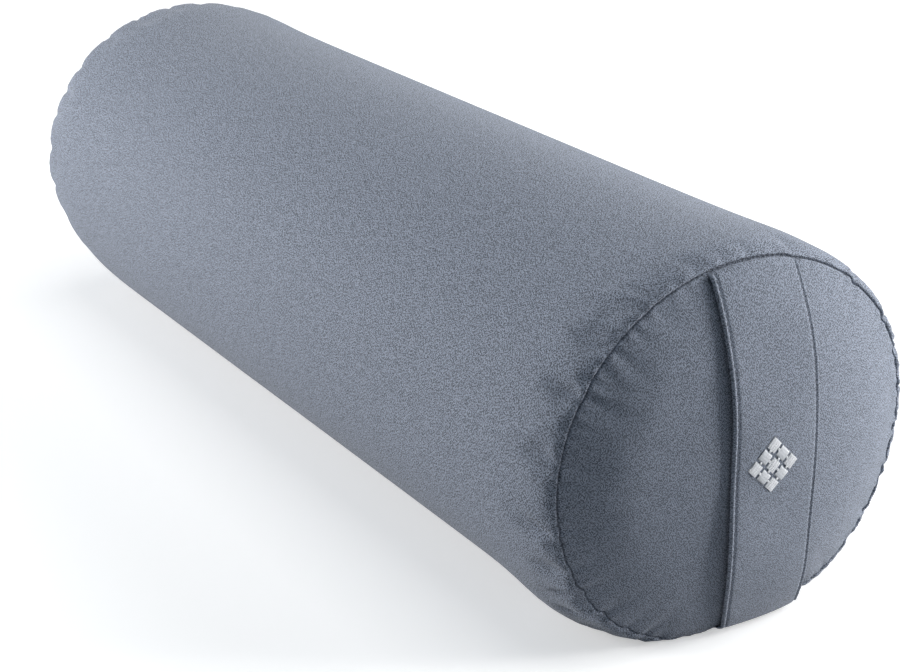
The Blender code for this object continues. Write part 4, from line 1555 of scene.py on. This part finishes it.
def make_weave():
    """Tone and height of a twill with melange yarn.

    Height: each thread is a half round across its pitch, and it dips under its neighbours
    once every four pitches, one pitch later for each thread, which makes the slanting rib.
    Tone: a random number for each tuft, which is one thread wide and one streak long, and
    starts at a place of its own on each thread. A share of the mean of its four
    neighbours is taken off, which keeps the speckle fine and even. Fibres and a slow
    unevenness, some millimetres long, are mixed in.
    """
    inputs = [("Map", "Vector", None), ("Pitch", "Float", 0.0005), ("Streak", "Float", 0.0010)]
    group, given, out = new_group("weave", inputs, [("Tone", "Float"), ("Height", "Float")])
    parts = node(group, "SeparateXYZ", given.outputs["Map"])
    pitch, streak = given.outputs["Pitch"], given.outputs["Streak"]
    thread = maths(group, "DIVIDE", parts.outputs[0], pitch)
    number = maths(group, "FLOOR", thread)
    across = maths(group, "SUBTRACT", maths(group, "FRACT", thread), 0.5)
    sunk = maths(group, "MULTIPLY", maths(group, "MULTIPLY", across, across), 3.2)
    along = maths(group, "ADD", maths(group, "DIVIDE", parts.outputs[1], pitch), number)
    dips = maths(group, "COSINE", maths(group, "MULTIPLY", along, math.pi / 2))
    dips = maths(group, "MULTIPLY_ADD", dips, 0.28, 0.72)
    height = maths(group, "MULTIPLY", maths(group, "SUBTRACT", 1.0, sunk), dips)
    lengthwise = maths(group, "DIVIDE", parts.outputs[1], streak)
    speckle = maths(group, "ADD", tuft_number(group, number, lengthwise), NEIGHBOUR_SHARE / 2)
    for step in ((1.0, 0.0), (-1.0, 0.0), (0.0, 1.0), (0.0, -1.0)):
        beside = tuft_number(group, number, lengthwise, *step)
        speckle = maths(group, "MULTIPLY_ADD", beside, -NEIGHBOUR_SHARE / 4, speckle)
    stretched = node(group, "CombineXYZ", thread, lengthwise, 0.0).outputs[0]
    fibres = node(group, "TexNoise", stretched, None, FIBRE_SCALE, 1.0, 0.5).outputs[0]
    slow = node(group, "TexNoise", given.outputs["Map"], None, SLOW_SCALE, 2.0, 0.5).outputs[0]
    tone = maths(group, "MULTIPLY", fibres, FIBRE_SHARE)
    tone = maths(group, "MULTIPLY_ADD", speckle, SPECKLE_SHARE, tone)
    tone = maths(group, "MULTIPLY_ADD", slow, 1 - SPECKLE_SHARE - FIBRE_SHARE, tone)
    group.links.new(tone, out.inputs["Tone"])
    group.links.new(height, out.inputs["Height"])
    return group


weave = make_weave()
print("nodes in the weave:", len(weave.nodes))


# %% Materials built on it
def new_material(name, roughness, metallic=0.0, **constants):
    """A material whose plain numbers sit on the shader's own sockets."""
    made = bpy.data.materials.new(name)
    made.use_nodes = True
    shader = made.node_tree.nodes["Principled BSDF"]
    shader.inputs["Roughness"].default_value = roughness
    shader.inputs["Metallic"].default_value = metallic
    for key, value in constants.items():
        shader.inputs[key.replace("_", " ")].default_value = value
    return made, made.node_tree, shader


def shade(tree, tone, dark, light, low=0.3, high=0.7):
    """A colour between two, by a tone that runs from low to high."""
    ramp = node(tree, "MapRange", tone, low, high, 0.0, 1.0)
    mix = node(tree, "Mix", data_type="RGBA")
    tree.links.new(ramp.outputs[0], mix.inputs[0])
    mix.inputs[6].default_value = (*dark, 1.0)
    mix.inputs[7].default_value = (*light, 1.0)
    return mix.outputs[2]


def two_tones(colour, contrast):
    """A colour made darker and lighter by a share of itself."""
    return [[min(1.0, part * share) for part in colour] for share in (1 - contrast, 1 + contrast)]


def bumped(tree, shader, height, distance, strength=1.0):
    """Lets a height tilt the shader's normal."""
    bump = node(tree, "Bump", strength)
    bump.inputs["Distance"].default_value = distance
    tree.links.new(height, bump.inputs["Height"])
    tree.links.new(bump.outputs[0], shader.inputs["Normal"])


def cloth_material(name, colour, contrast, pitch, streak, relief, sheen, on_object=False):
    """A woven cloth: the group's tone colours it, its height raises it."""
    made, tree, shader = new_material(
        name, 0.88, Sheen_Weight=sheen, Sheen_Roughness=0.45, Specular_IOR_Level=0.25
    )
    place = node(tree, "TexCoord").outputs["Object" if on_object else "UV"]
    cloth = node(tree, "Group", place, pitch, streak, node_tree=weave)
    tone = shade(tree, cloth.outputs["Tone"], *two_tones(colour, contrast), 0.2, 0.8)
    tree.links.new(tone, shader.inputs["Base Color"])
    bumped(tree, shader, cloth.outputs["Height"], relief)
    return made


SLATE = (0.190, 0.213, 0.262)
ZIP_SLATE = (0.150, 0.170, 0.215)
COTTON = (0.640, 0.585, 0.480)
twill = cloth_material("slate_twill", SLATE, 0.66, 0.00040, 0.00056, 0.00002, 0.10)
tube_twill = cloth_material("slate_twill_tube", SLATE, 0.78, 0.00050, 0.00064, 0.00002, 0.10)
cotton = cloth_material(
    "natural_cotton", COTTON, 0.14, 0.00050, 0.00300, 0.00010, 0.10, on_object=True
)
tape_weave = cloth_material(
    "zip_tape_weave", ZIP_SLATE, 0.20, 0.00040, 0.00200, 0.00008, 0.05, on_object=True
)
print("cloths:", [cloth.name for cloth in (twill, tube_twill, cotton, tape_weave)])


# %% Threads, plastic, metal and hulls
SPOT_SCALE = 700.0
HULL_SCALE = 260.0
HULL_DARK = (0.26, 0.17, 0.09)
HULL_LIGHT = (0.52, 0.40, 0.25)


def thread_material(name, colour, roughness, twist, contrast, sheen):
    """Twisted yarn: a tone and a height that wind round the strand with its own map."""
    made, tree, shader = new_material(name, roughness, Sheen_Weight=sheen, Sheen_Roughness=0.4)
    lengthwise = node(tree, "SeparateXYZ", node(tree, "TexCoord").outputs["UV"])
    wound = maths(tree, "MULTIPLY_ADD", lengthwise.outputs[0], twist, lengthwise.outputs[1])
    wave = maths(tree, "SINE", maths(tree, "MULTIPLY", wound, 4 * math.pi))
    ply = maths(tree, "MULTIPLY_ADD", wave, 0.5, 0.5)
    place = node(tree, "TexCoord").outputs["Object"]
    spots = node(tree, "TexNoise", place, None, SPOT_SCALE, 2.0, 0.5)
    tone = maths(tree, "MULTIPLY", spots.outputs[0], 0.6)
    tone = maths(tree, "MULTIPLY_ADD", ply, 0.4, tone)
    tone = shade(tree, tone, *two_tones(colour, contrast), 0.2, 0.8)
    tree.links.new(tone, shader.inputs["Base Color"])
    bumped(tree, shader, ply, 0.00004, 0.8)
    return made


def hard_material(name, colour, roughness, metallic, grain, contrast):
    """Plastic or metal whose roughness and colour vary a little, at a fine scale."""
    made, tree, shader = new_material(name, roughness, metallic)
    place = node(tree, "TexCoord").outputs["Object"]
    fine = node(tree, "TexNoise", place, None, grain, 3.0, 0.6).outputs[0]
    rough = node(tree, "MapRange", fine, 0.3, 0.7, roughness * 0.75, roughness * 1.3)
    tree.links.new(rough.outputs[0], shader.inputs["Roughness"])
    tone = shade(tree, fine, *two_tones(colour, contrast))
    tree.links.new(tone, shader.inputs["Base Color"])
    bumped(tree, shader, fine, 0.00003, 0.5)
    return made


def hull_material():
    """Loose hulls: small cells, each a little lighter or darker than the next."""
    made, tree, shader = new_material("grain_hulls", 0.75)
    place = node(tree, "TexCoord").outputs["Object"]
    cells = node(tree, "TexVoronoi", place)
    cells.inputs["Scale"].default_value = HULL_SCALE
    tone = shade(tree, cells.outputs["Color"], HULL_DARK, HULL_LIGHT, 0.1, 0.9)
    tree.links.new(tone, shader.inputs["Base Color"])
    bumped(tree, shader, cells.outputs["Distance"], 0.0008)
    return made


sewing = thread_material("slate_sewing_thread", (0.120, 0.138, 0.178), 0.62, 3.0, 0.25, 0.1)
silver = thread_material("silver_embroidery_thread", (0.74, 0.755, 0.79), 0.36, 2.0, 0.10, 0.25)
nylon = hard_material("slate_nylon", ZIP_SLATE, 0.38, 0.0, 900.0, 0.10)
metal = hard_material("nickel_plate", (0.60, 0.605, 0.61), 0.30, 1.0, 500.0, 0.05)
hull_finish = hull_material()
print("materials:", len(bpy.data.materials))


# %% [markdown]
# ## Binding every piece to the frame
#
# Each new piece rides on one of the frame's bodies, takes its finish, and stands for the
# solid that it replaces, which is hidden.

# %% Which piece stands for which solid
def bind(piece, material, slot, *nodes, body="bolster"):
    """Gives a piece its finish, its body and the solids it stands for. The slot is not used."""
    piece.data.materials.append(material)
    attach(piece, body)
    if nodes:
        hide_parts(*nodes)


bind(tube, tube_twill, "slate_twill", "cover_tube")
bind(front_disc, twill, "slate_twill", "cover_front_disc")
bind(back_disc, twill, "slate_twill", "cover_back_disc")
bind(band_face, twill, "slate_twill", "handle_face")
bind(band_backing, twill, "slate_twill", "handle_backing")
bind(front_stitches, sewing, "sewing_thread", "front_seam_thread")
bind(back_stitches, sewing, "sewing_thread", "back_seam_thread")
bind(open_edge_stitches, sewing, "sewing_thread", "handle_stitch_open_edge")
bind(flat_edge_stitches, sewing, "sewing_thread", "handle_stitch_flat_edge")
bind(motif_threads, silver, "silver_thread", "handle_motif")
for place, coil_piece, sewn, row in zip(("upper", "lower"), coils, coil_sewing, zip_sewing):
    bind(coil_piece, nylon, "zip_nylon", "zip_coil_" + place)
    bind(sewn, sewing, "sewing_thread")
    bind(row, sewing, "sewing_thread", "zip_stitch_" + place)
bind(tacks, sewing, "sewing_thread")
for crimp, place in zip(stops, ("top_stop_upper", "top_stop_lower", "bottom_stop")):
    bind(crimp, metal, "zip_metal", "zip_" + place)
bind(slider, metal, "zip_metal", "zip_slider", body="zip_slider_body")
bind(pull, metal, "zip_metal", "zip_pull", body="zip_pull_body")
for piece, place in zip(bag, ("tube", "front_disc", "back_disc")):
    bind(piece, cotton, "natural_cotton", "inner_bag_" + place)
bind(hulls, hull_finish, "grain_hulls", "filling")
for name, finish in (
    ("zip_tape_upper", tape_weave), ("zip_tape_lower", tape_weave),
    ("inner_bag_front_thread", cotton), ("inner_bag_back_thread", cotton),
):
    solid = frame["nodes"][name]
    solid.data.materials.clear()
    solid.data.materials.append(finish)

# %% [markdown]
# ## Floor and light
#
# The photograph was taken on white, with a large soft light at the right and a second
# one behind at the left, and little from above. The floor is pale. A camera ray sees it
# brighter than it is, so that it clips to white where nothing shades it, and the object's
# shadow stays.

# %% Which rays see the floor and the world as plain white
def plainly_seen(tree, rays):
    """1 for rays from the camera, off glossy things and through clear ones, otherwise 0."""
    seen = maths(tree, "MAXIMUM", rays.outputs["Is Camera Ray"], rays.outputs["Is Glossy Ray"])
    return maths(tree, "MAXIMUM", seen, rays.outputs["Is Transmission Ray"])


# %% The floor
FLOOR_HALF = 6.0
FLOOR_ALBEDO = 0.50
FLOOR_SEEN = 0.80
FLOOR_GLOW = 0.44


def make_floor():
    """A pale plane that takes shadows and glows a little for the rays that see it."""
    corners = FLOOR_HALF * np.array([(-1, -1, 0), (1, -1, 0), (1, 1, 0), (-1, 1, 0)], float)
    floor = make_mesh("studio_floor", corners, [(0, 1, 2, 3)])
    made, tree, shader = new_material("studio_floor", 1.0, Specular_IOR_Level=0.0)
    rays = node(tree, "LightPath")
    from_camera = rays.outputs["Is Camera Ray"]
    albedo = maths(tree, "MULTIPLY_ADD", from_camera, FLOOR_SEEN - FLOOR_ALBEDO, FLOOR_ALBEDO)
    tree.links.new(albedo, shader.inputs["Base Color"])
    strength = maths(tree, "MULTIPLY", plainly_seen(tree, rays), FLOOR_GLOW)
    glow = node(tree, "Emission", (1, 1, 1, 1), strength)
    both = node(tree, "AddShader", shader.outputs[0], glow.outputs[0])
    tree.links.new(both.outputs[0], tree.nodes["Material Output"].inputs["Surface"])
    floor.data.materials.append(made)
    return floor


print("floor:", make_floor().name)

# %% The world: white to the camera and in reflections, a faint cool fill to everything else
FILL_COLOUR = (0.50, 0.76, 1.0)
FILL_STRENGTH = 0.14


def make_world():
    """Plain white where it is seen, a faint fill where it lights."""
    world = bpy.data.worlds.new("studio")
    world.use_nodes = True
    tree = world.node_tree
    fill = tree.nodes["Background"]
    fill.inputs[0].default_value = (*FILL_COLOUR, 1)
    fill.inputs[1].default_value = FILL_STRENGTH
    white = node(tree, "Background", (1, 1, 1, 1), 1.0)
    seen = plainly_seen(tree, node(tree, "LightPath"))
    mix = node(tree, "MixShader", seen, fill.outputs[0], white.outputs[0])
    tree.links.new(mix.outputs[0], tree.nodes["World Output"].inputs["Surface"])
    bpy.context.scene.world = world
    return world


print("world:", make_world().name)

# %% Lamps: azimuth from +X, elevation, distance, size, irradiance, and the x they aim at
LAMPS = (
    ("key_right", 60, 8, 2.6, (1.4, 1.2), 1.08, 0.0),
    ("high_right", 60, 32, 2.6, (1.4, 1.2), 0.72, 0.0),
    ("left_behind", -122, 10, 1.6, (1.2, 0.8), 1.50, -0.3),
    ("overhead", 85, 86, 2.6, (1.8, 1.8), 0.34, 0.0),
)
LAMP_COLOUR = (1.0, 0.985, 0.965)
AIM_HEIGHT = 0.1


def make_lamp(name, azimuth, elevation, distance, size, irradiance, aim_x):
    """A soft box; its power is the irradiance wanted times pi squared times distance squared."""
    turn, rise = math.radians(azimuth), math.radians(elevation)
    level = math.cos(rise)
    way = Vector((math.cos(turn) * level, math.sin(turn) * level, math.sin(rise)))
    data = bpy.data.lights.new(name, "AREA")
    data.shape = "RECTANGLE"
    data.size, data.size_y = size
    data.energy = irradiance * (math.pi * distance) ** 2
    data.color = LAMP_COLOUR
    lamp = bpy.data.objects.new(name, data)
    lamp.location = Vector((aim_x, 0.0, AIM_HEIGHT)) + way * distance
    lamp.rotation_euler = way.to_track_quat("Z", "Y").to_euler()
    lamp.visible_camera = False
    bpy.context.scene.collection.objects.link(lamp)
    return lamp


lamps = [make_lamp(*lamp) for lamp in LAMPS]
bpy.context.scene.view_settings.view_transform = "Standard"
print("lamps:", [lamp.name for lamp in lamps])
